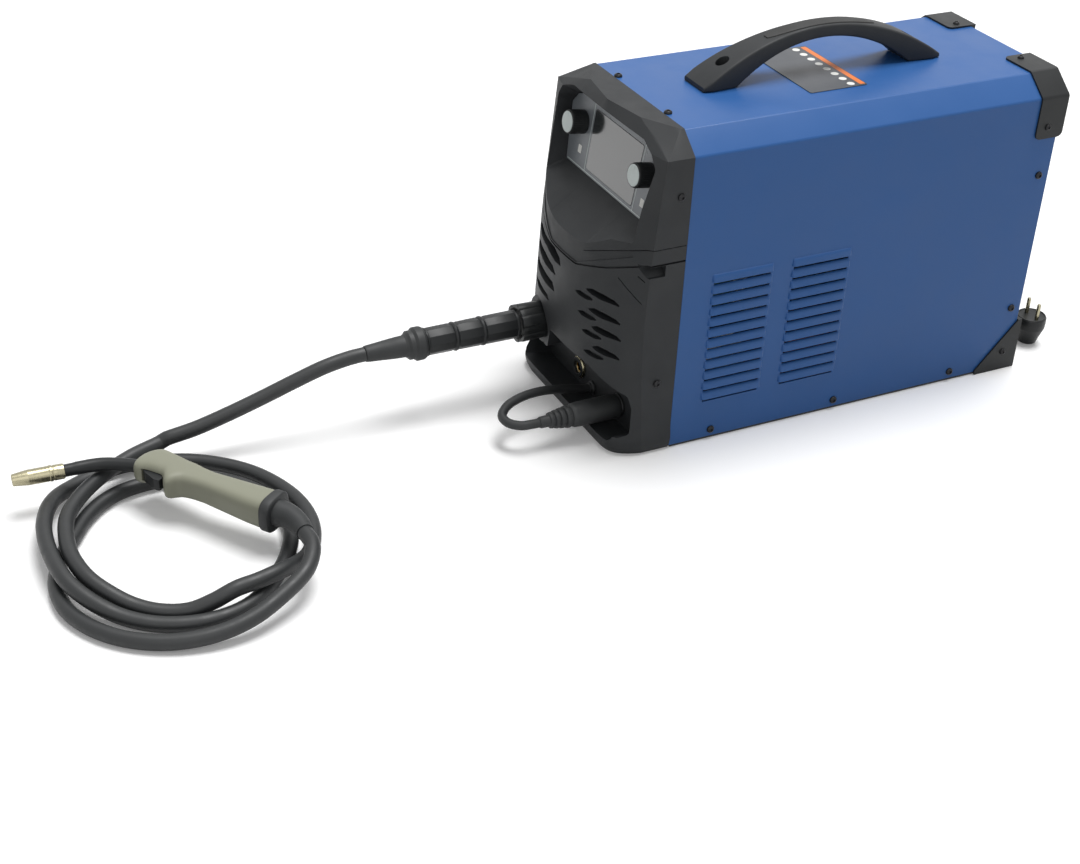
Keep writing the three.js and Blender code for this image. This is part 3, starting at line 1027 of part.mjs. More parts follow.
addPart('mains_lead', sweep(upTo(mainsRoute, MAINS_FREE), () => MAINS_RADIUS, 8, [0, 1, 0], mainsTurn), '#222324', 0.75);
addPart('mains_lead_coil', sweep(mainsRoute.slice(MAINS_FREE), () => MAINS_RADIUS, 6, mainsTurn, [1, 0, 0]), '#222324', 0.75);
console.log(`mains lead ${lengthOf(mainsRoute).toFixed(0)} mm, clear by ${leastGap(mainsRoute, MAINS_RADIUS).toFixed(2)} mm`);

const PLUG_TOP = 38;
addPart('mains_plug', union(
  turned('z', PLUG_X, PLUG_Y, [[15, 0.4], [18.4, 4], [19, 20], [18.6, PLUG_TOP - 1], [17.6, PLUG_TOP]], 20),
  rod('z', PLUG_X - 9.5, PLUG_Y, 2.4, PLUG_TOP - 1, PLUG_TOP + 19, 10),
  rod('z', PLUG_X + 9.5, PLUG_Y, 2.4, PLUG_TOP - 1, PLUG_TOP + 19, 10),
  turned('x', PLUG_Y, PLUG_EXIT[2], [[8, PLUG_X - 14], [7.5, PLUG_X - 20], [5, PLUG_EXIT[0]]], 12),
), '#242628', 0.6);

export default group;
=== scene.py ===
"""Looks of a compact MIG welding machine with its torch, polarity lead and mains lead."""

from math import acos, atan2, copysign, cos, hypot, pi, radians, sin, sqrt, tan

import bmesh
import bpy
import numpy as np
from mathutils import Matrix, Vector


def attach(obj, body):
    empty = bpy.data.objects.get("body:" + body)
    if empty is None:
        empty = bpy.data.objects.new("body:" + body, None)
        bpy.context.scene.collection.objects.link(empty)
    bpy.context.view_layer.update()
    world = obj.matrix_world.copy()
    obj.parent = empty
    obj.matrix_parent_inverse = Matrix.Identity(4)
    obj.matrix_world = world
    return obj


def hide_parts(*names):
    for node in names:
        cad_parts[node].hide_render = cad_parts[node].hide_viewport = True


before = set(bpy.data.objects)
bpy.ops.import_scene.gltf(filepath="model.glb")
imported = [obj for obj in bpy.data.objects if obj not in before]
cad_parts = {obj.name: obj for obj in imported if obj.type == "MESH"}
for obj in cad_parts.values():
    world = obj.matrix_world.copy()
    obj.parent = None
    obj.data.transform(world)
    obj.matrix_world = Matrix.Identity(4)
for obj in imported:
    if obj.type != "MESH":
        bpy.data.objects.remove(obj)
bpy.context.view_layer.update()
MM = 0.001
SHOWN = "_shown"

# ---- sizes, in millimetres, as in the solids
CASE_HALF, CASE_FRONT, CASE_REAR, CASE_LOW, CASE_TOP = 124, 245, 235.5, 3.5, 374
CHAMFER_X, CHAMFER_Z = 26.3, 21.3
SHEET = 1.5
EURO_X, EURO_Z = -55, 90
PLUS_X, PLUS_Z = 66.5, 32.5
MINUS_X, MINUS_Z = -30, 30
LEAD_X, LEAD_Z = 3, 20
POCKET_BACK = -279
KNOB_X, KNOB_Z, KNOB_RADIUS = 76, 317, 13.4
PANEL_LEAN = radians(8.5)
TORCH_Z = 42


# ---- mesh helpers
def link_object(name, data):
    thing = bpy.data.objects.new(name, data)
    bpy.context.scene.collection.objects.link(thing)
    return thing


def new_object(name, verts, faces):
    mesh = bpy.data.meshes.new(name)
    mesh.from_pydata([[c * MM for c in v] for v in verts], [], faces)
    shape = bmesh.new()
    shape.from_mesh(mesh)
    bmesh.ops.remove_doubles(shape, verts=shape.verts, dist=1e-7)
    bmesh.ops.recalc_face_normals(shape, faces=shape.faces)
    shape.to_mesh(mesh)
    shape.free()
    return link_object(name, mesh)


def settle(thing):
    """Turns the modifiers of a piece into mesh."""
    graph = bpy.context.evaluated_depsgraph_get()
    mesh = bpy.data.meshes.new_from_object(thing.evaluated_get(graph))
    thing.modifiers.clear()
    thing.data = mesh


def combine(thing, other, operation="DIFFERENCE", keep=False):
    """Boolean of two shapes; the second one goes unless it's kept."""
    modifier = thing.modifiers.new("combine", "BOOLEAN")
    modifier.operation = operation
    modifier.solver = "EXACT"
    modifier.object = other
    settle(thing)
    if not keep:
        bpy.data.objects.remove(other)


def cut(thing, *others):
    for other in others:
        combine(thing, other)


def soften(thing, width=0.8, segments=2, angle=30, smooth=40):
    """Rounds the edges of a piece and shades it smooth; without a width it only shades."""
    thing.data.shade_smooth()
    if width:
        modifier = thing.modifiers.new("bevel", "BEVEL")
        modifier.width = width * MM
        modifier.segments = segments
        modifier.limit_method = "ANGLE"
        modifier.angle_limit = radians(angle)
        modifier.harden_normals = True
        modifier.use_clamp_overlap = True
        settle(thing)
    else:
        thing.data.set_sharp_from_angle(angle=radians(smooth))
    return thing


def ring_at(axis, outline, w):
    """The points of a flat outline at a place along an axis."""
    return [{"x": (w, u, v), "y": (u, w, v), "z": (u, v, w)}[axis] for u, v in outline]


def loft(name, rings):
    """Skin through rings of equal count, with flat ends."""
    count = len(rings[0])
    faces = []
    for k in range(len(rings) - 1):
        for i in range(count):
            j = (i + 1) % count
            faces.append((k * count + i, k * count + j, (k + 1) * count + j, (k + 1) * count + i))
    last = (len(rings) - 1) * count
    faces.append(tuple(range(count)))
    faces.append(tuple(range(last, last + count)))
    return new_object(name, [p for ring in rings for p in ring], faces)


def prism(name, axis, outline, start, end):
    return loft(name, [ring_at(axis, outline, w) for w in (start, end)])


def rectangle(u0, v0, u1, v1):
    return [(u0, v0), (u1, v0), (u1, v1), (u0, v1)]


def block(name, x, y, z):
    return prism(name, "z", rectangle(x[0], y[0], x[1], y[1]), *z)


def circle(u, v, radius, sides, turn=0.5):
    angles = [(i + turn) / sides * 2 * pi for i in range(sides)]
    return [(u + radius * cos(a), v + radius * sin(a)) for a in angles]


def rod(name, axis, u, v, radius, start, end, sides=48):
    return prism(name, axis, circle(u, v, radius, sides), start, end)


def fillet(points, radius, steps=5, closed=True):
    """Rounds the corners of an outline; radius is one number or one for each point."""
    points = [np.array(p, float) for p in points]
    radii = radius if hasattr(radius, "__len__") else [radius] * len(points)
    out = []
    for i, corner in enumerate(points):
        if (not closed and i in (0, len(points) - 1)) or radii[i] <= 0:
            out.append(tuple(corner))
            continue
        before, after = points[i - 1] - corner, points[(i + 1) % len(points)] - corner
        long_before, long_after = np.linalg.norm(before), np.linalg.norm(after)
        before, after = before / long_before, after / long_after
        angle = acos(max(-1, min(1, float(before @ after))))
        if angle > pi - 0.02:
            out += [tuple(corner)] * (steps + 1) if closed else [tuple(corner)]
            continue
        reach = min(radii[i] / tan(angle / 2), long_before * 0.48, long_after * 0.48)
        size = reach * tan(angle / 2)
        middle = corner + (before + after) / np.linalg.norm(before + after) * (size / sin(angle / 2))
        first, final = corner + before * reach - middle, corner + after * reach - middle
        a0 = atan2(first[1], first[0])
        turn = (atan2(final[1], final[0]) - a0 + pi) % (2 * pi) - pi
        for k in range(steps + 1):
            a = a0 + turn * k / steps
            out.append((middle[0] + size * cos(a), middle[1] + size * sin(a)))
    return out


def shrink(outline, by):
    """Moves the sides of an anticlockwise convex outline inwards."""
    sides = []
    for i, p in enumerate(outline):
        q = outline[(i + 1) % len(outline)]
        length = hypot(q[0] - p[0], q[1] - p[1])
        normal = (-(q[1] - p[1]) / length, (q[0] - p[0]) / length)
        sides.append((normal, normal[0] * p[0] + normal[1] * p[1] + by))
    out = []
    for i, (n1, d1) in enumerate(sides):
        n0, d0 = sides[i - 1]
        det = n0[0] * n1[1] - n0[1] * n1[0]
        out.append(((d0 * n1[1] - d1 * n0[1]) / det, (n0[0] * d1 - n1[0] * d0) / det))
    return out


def turned(name, axis, u, v, profile, sides=64, round_by=0.0, start=0, way=1):
    """A turned piece: the profile lists radii and how far they are from the start along the axis."""
    profile = [(r, start + way * w) for r, w in profile]
    if round_by:
        profile = fillet(profile, round_by, 3, closed=False)
    return loft(name, [ring_at(axis, circle(u, v, r, sides), w) for r, w in profile])


def join(name, *things):
    """Several loose shapes as one piece."""
    verts, faces = [], []
    for thing in things:
        base = len(verts)
        verts += [tuple(c / MM for c in v.co) for v in thing.data.vertices]
        faces += [[base + i for i in p.vertices] for p in thing.data.polygons]
        bpy.data.objects.remove(thing)
    return new_object(name, verts, faces)


def tube(name, points, radius_at, sides):
    """A tapering tube along a route; radius_at is asked for shares of the way from 0 to 1."""
    points = [Vector(p) for p in points]
    rings = []
    for i, p in enumerate(points):
        ahead = (points[min(i + 1, len(points) - 1)] - points[max(i - 1, 0)]).normalized()
        side = ahead.cross(Vector((0, 0, 1))).normalized()
        over = side.cross(ahead)
        radius = radius_at(i / (len(points) - 1))
        rings.append([tuple(p + side * a + over * b) for a, b in circle(0, 0, radius, sides)])
    return loft(name, rings)


def paint(thing, material):
    thing.data.materials.clear()
    thing.data.materials.append(material)


def piece(thing, material, body="machine", replaces=()):
    """A finished piece. A name that ends in _shown stands for the solid of that name, or for those in replaces."""
    paint(thing, material)
    if thing.name.endswith(SHOWN):
        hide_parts(*(replaces or [thing.name.removesuffix(SHOWN)]))
    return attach(thing, body)


def crisp(thing, material, body="machine"):
    """A finished piece whose edges stay as they are modelled."""
    return piece(soften(thing, 0), material, body)


def refined(node, material, width, body="machine"):
    """A copy of a solid with rounded edges, shown in its place."""
    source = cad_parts[node].data
    thing = new_object(node + SHOWN, [tuple(c / MM for c in v.co) for v in source.vertices],
                       [tuple(p.vertices) for p in source.polygons])
    shape = bmesh.new()
    shape.from_mesh(thing.data)
    bmesh.ops.dissolve_limit(shape, angle_limit=radians(1), verts=shape.verts, edges=shape.edges)
    shape.to_mesh(thing.data)
    shape.free()
    piece(soften(thing, width), material, body)


# ---- materials
def linear(value):
    value /= 255
    return value / 12.92 if value <= 0.04045 else ((value + 0.055) / 1.055) ** 2.4


def fill(node, values):
    for name, value in values.items():
        node.inputs[name].default_value = value
    return node


GLOSS_CHANGE = 0.06


def surface(name, rgb, rough, metal=0.0, vary=0.05, vary_scale=9.0, grain=0.02, grain_scale=900.0, coat=0.0,
            specular=0.5, stretch=(1, 1, 1)):
    """A finish with slow colour change, uneven gloss and a fine grain. Colours are given as sRGB 0 to 255."""
    material = bpy.data.materials.new(name)
    material.use_nodes = True
    nodes, links = material.node_tree.nodes, material.node_tree.links
    shader = fill(nodes["Principled BSDF"], {
        "Metallic": metal, "Coat Weight": coat, "Coat Roughness": 0.15, "Specular IOR Level": specular})
    mapping = fill(nodes.new("ShaderNodeMapping"), {"Scale": stretch})
    links.new(nodes.new("ShaderNodeTexCoord").outputs["Object"], mapping.inputs["Vector"])

    def noise(scale, detail, target):
        texture = fill(nodes.new("ShaderNodeTexNoise"), {"Scale": scale, "Detail": detail})
        links.new(mapping.outputs["Vector"], texture.inputs["Vector"])
        links.new(texture.outputs["Fac"], target)

    colour = nodes.new("ShaderNodeMix")
    colour.data_type = "RGBA"
    base = [linear(c) for c in rgb]
    fill(colour, {"A": [c * (1 - vary) for c in base] + [1], "B": [min(1, c * (1 + vary)) for c in base] + [1]})
    noise(vary_scale, 6, colour.inputs["Factor"])
    links.new(colour.outputs["Result"], shader.inputs["Base Color"])
    gloss = fill(nodes.new("ShaderNodeMapRange"), {
        "From Min": 0.3, "From Max": 0.7,
        "To Min": max(0.02, rough - GLOSS_CHANGE), "To Max": min(1, rough + GLOSS_CHANGE)})
    noise(vary_scale * 4, 4, gloss.inputs["Value"])
    links.new(gloss.outputs["Result"], shader.inputs["Roughness"])
    bump = fill(nodes.new("ShaderNodeBump"), {"Strength": 1, "Distance": grain * MM})
    noise(grain_scale, 3, bump.inputs["Height"])
    links.new(bump.outputs["Normal"], shader.inputs["Normal"])
    return material


PAINT = surface("blue_paint", (46, 93, 155), 0.36, vary_scale=5, grain_scale=420, specular=0.3)
BLACK = surface("black_moulding", (39, 41, 43), 0.55, vary=0.1, grain=0.06, grain_scale=1500, specular=0.3)
BLACK_SATIN = surface("black_satin", (32, 34, 35), 0.42, vary=0.08, grain=0.03, grain_scale=1100, specular=0.28)
RUBBER = surface("black_rubber", (34, 36, 37), 0.6, vary=0.12, vary_scale=14, grain=0.05, grain_scale=700)
HOSE = surface("hose_rubber", (34, 36, 37), 0.5, vary=0.14, vary_scale=20, grain=0.06, grain_scale=420)
GRIPPY = surface("grip_rubber", (14, 15, 15), 0.6, vary=0.1, grain=0.25, grain_scale=520)
PANEL = surface("panel_overlay", (118, 123, 128), 0.32, grain_scale=1200)
WINDOW = surface("smoked_window", (44, 48, 49), 0.1, grain=0, coat=0.8, specular=0.8)
CAP = surface("knob_cap", (196, 206, 204), 0.38)
ZINC = surface("zinc_sheet", (150, 153, 156), 0.38, metal=1, vary=0.14, vary_scale=45, grain=0.01)
DARK_SHEET = surface("dark_sheet", (44, 46, 49), 0.5, vary=0.08, grain=0.09, grain_scale=800)
STEEL = surface("screw_steel", (34, 34, 36), 0.32, metal=0.6, vary=0.15, vary_scale=300)
BRASS = surface("brass", (196, 152, 74), 0.28, metal=1, vary=0.12, vary_scale=120, grain_scale=600)
NICKEL = surface("nickel", (166, 160, 134), 0.28, metal=1, vary=0.12, vary_scale=90, grain=0.03, grain_scale=500)
COPPER = surface("copper", (190, 112, 76), 0.3, metal=1, vary=0.14, vary_scale=120)
KHAKI = surface("torch_moulding", (136, 137, 120), 0.5, vary=0.07, grain=0.05, grain_scale=1200)
LABEL = surface("label_plate", (74, 77, 82), 0.42, vary=0.06, grain_scale=1000)
WHITE_INK = surface("white_ink", (232, 232, 228), 0.5, vary=0.03, grain=0.01)
ORANGE_INK = surface("orange_ink", (226, 122, 58), 0.5, grain=0.01)
GREEN = surface("circuit_board", (24, 84, 52), 0.4, vary=0.2, vary_scale=160, grain=0.05, grain_scale=300)
ALUMINIUM = surface("aluminium", (196, 198, 200), 0.34, metal=1, vary=0.08, vary_scale=60, stretch=(1, 12, 1))
VARNISH = surface("varnished_winding", (112, 56, 30), 0.42, vary=0.25, vary_scale=60, grain=0.2, grain_scale=260)
WIRE = surface("wound_wire", (190, 132, 88), 0.34, metal=1, vary=0.2, vary_scale=90, grain=0.35,
               stretch=(1, 0.02, 0.02))
RED = surface("switch_red", (176, 26, 20), 0.3, grain=0.01)

# ---- cover
CASE_OUTLINE = [
    (-CASE_HALF, CASE_LOW), (CASE_HALF, CASE_LOW), (CASE_HALF, CASE_TOP - CHAMFER_Z), (CASE_HALF - CHAMFER_X, CASE_TOP),
    (-CASE_HALF + CHAMFER_X, CASE_TOP), (-CASE_HALF, CASE_TOP - CHAMFER_Z),
]
COVER_FRONT = -CASE_FRONT + 0.3
LOUVRE_STARTS, LOUVRE_LOW, LOUVRE_PITCH, LOUVRE_LENGTH, LOUVRE_COUNT = (-208.6, -106.8), 55.5, 13.4, 76.8, 12
MOUTH_LOW, MOUTH_HIGH, MOUTH_END = 3.9, 5.6, 2.5
LOUVRES = [(start, LOUVRE_LOW + i * LOUVRE_PITCH) for start in LOUVRE_STARTS for i in range(LOUVRE_COUNT)]
HOOD = ((9.2, 0), (8.7, 0.8), (8.1, 1.5), (7.2, 2), (5, 2.4), (2.4, 2.8), (0.5, 3.1), (0, 3.1))
DOOR_Y, DOOR_Z = (-205, 186), (24, 334)


def make_cover():
    bends = [0, 0, 5, 5, 5, 5]
    cover = prism("cover_shown", "y", fillet(CASE_OUTLINE, bends, 6), COVER_FRONT, CASE_REAR)
    inner = [(x, -20 if z < CASE_LOW + 5 else z) for x, z in fillet(shrink(CASE_OUTLINE, SHEET), bends, 6)]
    mouths = [block("mouth", (CASE_HALF - 4, CASE_HALF + 1), (start + MOUTH_END, start + LOUVRE_LENGTH - MOUTH_END),
                    (low - MOUTH_LOW, low + MOUTH_HIGH)) for start, low in LOUVRES]
    cut(cover, prism("inside", "y", inner, -300, 300),
        block("doorway", (-CASE_HALF - 5, -CASE_HALF + 5), DOOR_Y, DOOR_Z), join("mouths", *mouths))
    return soften(cover, 0.4, 2, 40)


def louvre(start, low):
    """One pressed hood: it rises from the sheet at its top and both ends, and is open below."""
    ends = [(start + y, rise) for y, rise in ((0, 0.02), (0.7, 0.6), (1.6, 0.9), (3, 1))]
    ends += [(2 * start + LOUVRE_LENGTH - y, rise) for y, rise in reversed(ends)]
    rings = []
    for y, rise in ends:
        outer = [(CASE_HALF + x * rise, y, low + height) for height, x in HOOD]
        inner = [(CASE_HALF + x * rise - 1, y, low + height - 0.06 * height) for height, x in HOOD]
        rings.append(outer + inner[::-1])
    return loft("hood", rings)


piece(make_cover(), PAINT)
crisp(join("cover_louvres", *[louvre(*at) for at in LOUVRES]), PAINT)


def button_screw(axis, u, v, seat, out=1, size=1.0):
    """A black button-head screw with a hexagon socket; out is the way that its head stands."""
    head = [(4.6, 0), (4.6, 0.9), (4.2, 2.0), (3.2, 2.9), (2.3, 3.2), (1.9, 3.1), (1.7, 1.6), (0.3, 1.5)]
    return turned("screw", axis, u, v, [(r * size, seat + out * w * size) for r, w in head], 28, 0.25)


screws = [button_screw("x", y, z, side * CASE_HALF, side) for side in (1, -1) for y, z in
          ((221.3, 257.8), (221.5, 84.3), (143.6, 13), (-24.5, 12.4), (-191.4, 12.4))]
screws += [button_screw("z", x, COVER_FRONT + 5, CASE_TOP) for x in (-55, 55)]
crisp(join("cover_screws", *screws), STEEL)


# ---- front moulding
MOULD_HALF, MOULD_TOP, BROW = CASE_HALF + 0.8, CASE_TOP + 0.8, 353.5
TOP_HALF, TOP_SIDE, TOP_FRONT = CASE_HALF - CHAMFER_X + 0.7, 3.5, 37
FACET_HALF, FACET_FRONT = 56, 28
LEVELS = np.array([  # height, half width, reach at the side, reach in the middle, flatness
    (0, MOULD_HALF - 3, 34.5, 69, 14), (5, MOULD_HALF, 36, 71, 14), (34, MOULD_HALF, 38, 75, 8),
    (74, MOULD_HALF, 41, 80, 4), (112, MOULD_HALF, 43.5, 84, 2.8), (155, MOULD_HALF, 44.5, 84, 2.4),
    (232, MOULD_HALF, 42, 80, 2.2), (262, MOULD_HALF, 40, 74, 2.2), (BROW, MOULD_HALF, 32, 45, 3),
    (MOULD_TOP, TOP_HALF, TOP_SIDE, TOP_FRONT + 0.5, 3),
])


def level_at(z):
    """The values of LEVELS at a height: blended in straight lines near the ends and smoothly elsewhere."""
    heights = LEVELS[:, 0]
    i = int(np.clip(np.searchsorted(heights, z) - 1, 0, len(heights) - 2))
    h = heights[i + 1] - heights[i]
    t = (z - heights[i]) / h
    if i == 0 or i >= len(heights) - 3:
        return LEVELS[i, 1:] * (1 - t) + LEVELS[i + 1, 1:] * t
    slopes = np.gradient(LEVELS[:, 1:], heights, axis=0)
    return ((2 * t ** 3 - 3 * t ** 2 + 1) * LEVELS[i, 1:] + (t ** 3 - 2 * t ** 2 + t) * h * slopes[i]
            + (-2 * t ** 3 + 3 * t ** 2) * LEVELS[i + 1, 1:] + (t ** 3 - t ** 2) * h * slopes[i + 1])


def blend(first, second, share, z):
    return [(p[0] + (q[0] - p[0]) * share, p[1] + (q[1] - p[1]) * share, z) for p, q in zip(first, second)]


def mould_ring(z, inset=0.0, rear=-CASE_FRONT):
    """Front curve and side edges at a height. Above the brow, flat facets rise from the side edges to the top."""
    low = min(z, BROW)
    wide, edge, middle, power = level_at(max(low, 0))
    steps = [sin((i - 24) / 48 * pi) for i in range(49)]
    ring = [(wide * s, -CASE_FRONT - (edge + (middle - edge) * (1 - abs(s) ** power)), low) for s in steps]
    five = range(1, 6)
    sides = [(wide, -CASE_FRONT - edge + 0.2 * k, low) for k in five]
    sides += [(wide, -CASE_FRONT - (edge - 1) * (1 - k / 6), low) for k in five]
    if z > BROW:
        share = (z - BROW) / (MOULD_TOP - BROW)
        top = [(FACET_HALF * s, -CASE_FRONT - TOP_FRONT + (TOP_FRONT - FACET_FRONT) * abs(s)) for s in steps]
        slope = [(FACET_HALF + (TOP_HALF - 1 - FACET_HALF) * k / 5,
                  -CASE_FRONT - FACET_FRONT + (FACET_FRONT - TOP_SIDE - 0.6) * k / 5) for k in five]
        slope += [(TOP_HALF - 1 + k / 6, -CASE_FRONT - TOP_SIDE - 0.6 * (1 - k / 6)) for k in five]
        ring, sides = blend(ring, top, share, z), blend(sides, slope, share, z)
        wide += (TOP_HALF - wide) * share
    ring = [(-wide, rear, z)] + [(-x, y, h) for x, y, h in reversed(sides)] + ring + sides + [(wide, rear, z)]
    return [(x * (1 - inset / wide), y + (inset if y < rear - 0.01 else 0), h) for x, y, h in ring]


def mould(name, low, high, inset=0.0, rear=-CASE_FRONT):
    steps = sorted({low, high, *[z for z in (*LEVELS[:, 0], *np.arange(0, 376, 7.0)) if low < z < high]})
    return loft(name, [mould_ring(z, inset, rear) for z in steps])


SEAM = [(-200, 257), (-120, 254), (-80, 239), (-40, 223), (40, 223), (80, 239), (120, 254), (200, 257)]


def below_seam(shift):
    """All that lies below the joint line of the two mouldings."""
    return prism("below", "y", [(x, z + shift) for x, z in SEAM] + [(200, -20), (-200, -20)], -400, -200)


PANEL_FOOT_Y, PANEL_FOOT_Z = -273.5, 266


def panel_y(z):
    return PANEL_FOOT_Y + (z - PANEL_FOOT_Z) * tan(PANEL_LEAN)


def both_sides(side):
    return side + [(-x, z) for x, z in reversed(side)]


PANEL_OUTLINE = both_sides([(98.5, 266), (108, 330), (98, 342), (78, 350)])
RECESS_BACK = PANEL_OUTLINE + [(-42, 266), (42, 266)]
RECESS_MOUTH = both_sides([(110, 236), (121, 372), (108, 388), (84, 396)]) + [(-42, 216), (42, 216)]


def lean_ring(outline, off):
    return [(x, panel_y(z) - off, z) for x, z in outline]


def recess():
    radii = [2, 6, 6, 3, 3, 6, 6, 2, 6, 6]
    back, mouth = fillet(RECESS_BACK, radii, 4), fillet(RECESS_MOUTH, [r * 1.5 for r in radii], 4)
    return loft("recess", [lean_ring(back, -1.5), lean_ring(back, 0), ring_at("y", mouth, -345)])


def strip(line, thick, far):
    """A flat band of even thickness along a line in the front view."""
    up = [(x, z + thick / 2) for x, z in line]
    down = [(x, z - thick / 2) for x, z in line]
    return prism("strip", "y", up + down[::-1], -345, far)


def make_upper():
    upper = mould("front_bezel_upper_shown", 205, MOULD_TOP)
    cut(upper, below_seam(0.5), recess(), block("behind", (-108, 108), (-258, -240), (200, 350)),
        *[rod("hole", "y", side * KNOB_X, KNOB_Z, 5, -280, -240) for side in (-1, 1)],
        block("opening", (-50, 50), (-280, -240), (274, 336)))
    return soften(upper, 1.1, 3, 24)


def pocket():
    """The sockets' pocket, whose floor drops from the mouth to the back wall."""
    def outline(floor):
        points = [(-104, floor), (105, floor), (109, floor + 5), (109, 50), (105.5, 65), (56, 95), (-20, 95), (-31, 66),
                  (-115, 62), (-115, floor + 19)]
        return fillet(points, [3, 3, 2, 4, 6, 10, 4, 4, 3, 4], 4)
    return loft("pocket", [ring_at("y", outline(9), POCKET_BACK), ring_at("y", outline(24), -360)])


BOSS_RADIUS, BOSS_FRONT = 28, -321
GILLS = [(31, 169.5, 1.04), (38.7, 148.2, 0.97), (48, 129, 0.86), (53.5, 106, 0.78)]
GILL_LENS = [(0, 2.5), (12, 6.5), (28, 6), (34, 3.5), (24, 0.3), (10, 0)]
GILL_WEDGE = [(17, 12.2), (29, 16.6), (45, 16.2), (57, 14.6), (67, 9.3), (54, 9.2), (40, 8.6), (28, 9.6)]
LEFT_GILLS = [
    [(1, 185.5), (-4, 194), (-18, 200.5), (-44, 200.5), (-72, 203), (-92, 195), (-70, 190), (-40, 190), (-14, 184.6)],
    [(-9, 168.5), (-19, 177), (-45, 181), (-75, 181), (-95, 173), (-70, 168.5), (-40, 167.6)],
    [(-10, 148), (-17, 157.5), (-45, 159), (-75, 159), (-96, 151), (-70, 147), (-36, 146.5)],
    [(-22, 130.5), (-30, 136), (-60, 137), (-96, 131), (-60, 128)],
]
FOLD = [(-132, 236.6), (-121, 235.8), (-76, 217.6), (-30, 203), (30, 203), (76, 217.6), (121, 235.8), (132, 236.6)]
FLARE = [  # places along y and the outlines there, for the pocket's right side
    (-281, [(60, 20), (104, 22), (108.5, 28), (108.5, 50), (105.5, 65), (60, 88)]),
    (-296, [(60, 21), (114, 22), (120, 28), (120, 61), (113, 74), (60, 95.5)]),
    (-360, [(60, 21), (114, 22), (120, 28), (120, 61), (113, 74), (60, 95.5)]),
]


def front_cut(outline, far=-284, radius=1.2):
    return prism("cut", "y", fillet(outline, radius, 3), -350, far)


def make_lower():
    lower = mould("front_bezel_lower_shown", 0, 264, inset=0.6)
    combine(lower, below_seam(-0.6), "INTERSECT")
    combine(lower, pocket())
    combine(lower, rod("boss", "y", EURO_X, EURO_Z, BOSS_RADIUS, POCKET_BACK + 3, BOSS_FRONT, 96), "UNION")
    cut(lower, rod("front", "y", EURO_X, EURO_Z, BOSS_RADIUS, BOSS_FRONT, -370, 96),
        rod("bore", "y", EURO_X, EURO_Z, 17, -400, -240))
    core, shallow, step = (mould("limit", low, 300, inset, -230) for low, inset in ((60, 3.2), (60, 6), (180, 1.7)))

    def engrave(tool, limit):
        """Cuts with a tool, but not into the limit, which has the moulding's own curve."""
        combine(tool, limit, keep=True)
        combine(lower, tool)

    engrave(front_cut(both_sides([(30, 205), (104, 240), (104, 252), (80, 242), (40, 226)]), -280, 0), step)
    engrave(strip(FOLD, 2.2, -240), core)
    for x, z, size in GILLS:
        engrave(front_cut([(x + u, z + v) for u, v in GILL_LENS]), shallow)
        combine(lower, front_cut([(x + u * size, z + v) for u, v in GILL_WEDGE]))
    for outline in LEFT_GILLS:
        combine(lower, front_cut(outline, -290))
    for side in (-1, 1):
        notch = [(side * x, z) for x, z in ((110, 234.5), (130, 234.8), (130, 221), (121, 222), (112, 230))]
        combine(lower, prism("notch", "y", notch, -345, -268.6))
        for line in ([(91.5, 212.2), (119.5, 190.2)], [(112, 221.2), (120, 216.4)]):
            engrave(strip([(side * x, z) for x, z in line], 1.5, -284), core)
    for limit in (core, shallow, step):
        bpy.data.objects.remove(limit)
    cut(lower, loft("flare", [ring_at("y", fillet(outline, 3, 3), y) for y, outline in FLARE]),
        block("behind", (-112, 112), (-262, -240), (12, 262)),
        *[rod("hole", "y", x, z, r, -300, -240, 40)
          for x, z, r in ((PLUS_X, PLUS_Z, 10.5), (MINUS_X, MINUS_Z, 10.5), (LEAD_X, LEAD_Z, 5.4))])
    return soften(lower, 0.9, 2, 26)


piece(make_upper(), BLACK)
piece(make_lower(), BLACK)
screws = [button_screw("x", y, z, side * (MOULD_HALF - 0.4), side, 0.95)
          for y, z in ((-257.4, 311.5), (-267.5, 90)) for side in (-1, 1)]
crisp(join("bezel_screws", *screws), STEEL)


# ---- control panel
def leaning(name, outline, near, far):
    return loft(name, [lean_ring(outline, off) for off in (near, far)])


WINDOW_OUTLINE = [(-52.5, 272), (52.5, 272), (54.5, 341), (-54.5, 341)]
panel = leaning("control_panel_shown", fillet(shrink(PANEL_OUTLINE, 0.3), 3, 3), 0.3, 2)
cut(panel, leaning("hole", fillet(WINDOW_OUTLINE, 2, 3), -5, 5),
    *[rod("hole", "y", side * KNOB_X, KNOB_Z, 4, -290, -240) for side in (-1, 1)])
piece(soften(panel, 0.25, 2, 40), PANEL)
window = leaning("display_window_shown", fillet(shrink(WINDOW_OUTLINE, 0.35), 2, 4), 0.3, 2.3)
piece(soften(window, 0.3, 3, 40), WINDOW)
lines = []
for x0, z0, x1, z1 in ((-55.5, 269, -57.5, 345), (55.5, 269, 57.5, 345), (-96, 268.4, 96, 268.4)):
    dx, dz = (0.45, 0) if x0 * x1 > 0 else (0, 0.45)
    outline = [(x0 - dx, z0 - dz), (x0 + dx, z0 + dz), (x1 + dx, z1 + dz), (x1 - dx, z1 - dz)]
    lines.append(leaning("line", outline, 1.9, 2.15))
crisp(join("panel_lines", *lines), CAP)
marks = [leaning("mark", fillet(rectangle(x - 3.6, z - 4.5, x + 3.6, z + 4.5), 0.8, 3), 1.9, 2.2)
         for x, z in ((-73, 287), (71.5, 284))]
crisp(join("panel_marks", *marks), WHITE_INK)


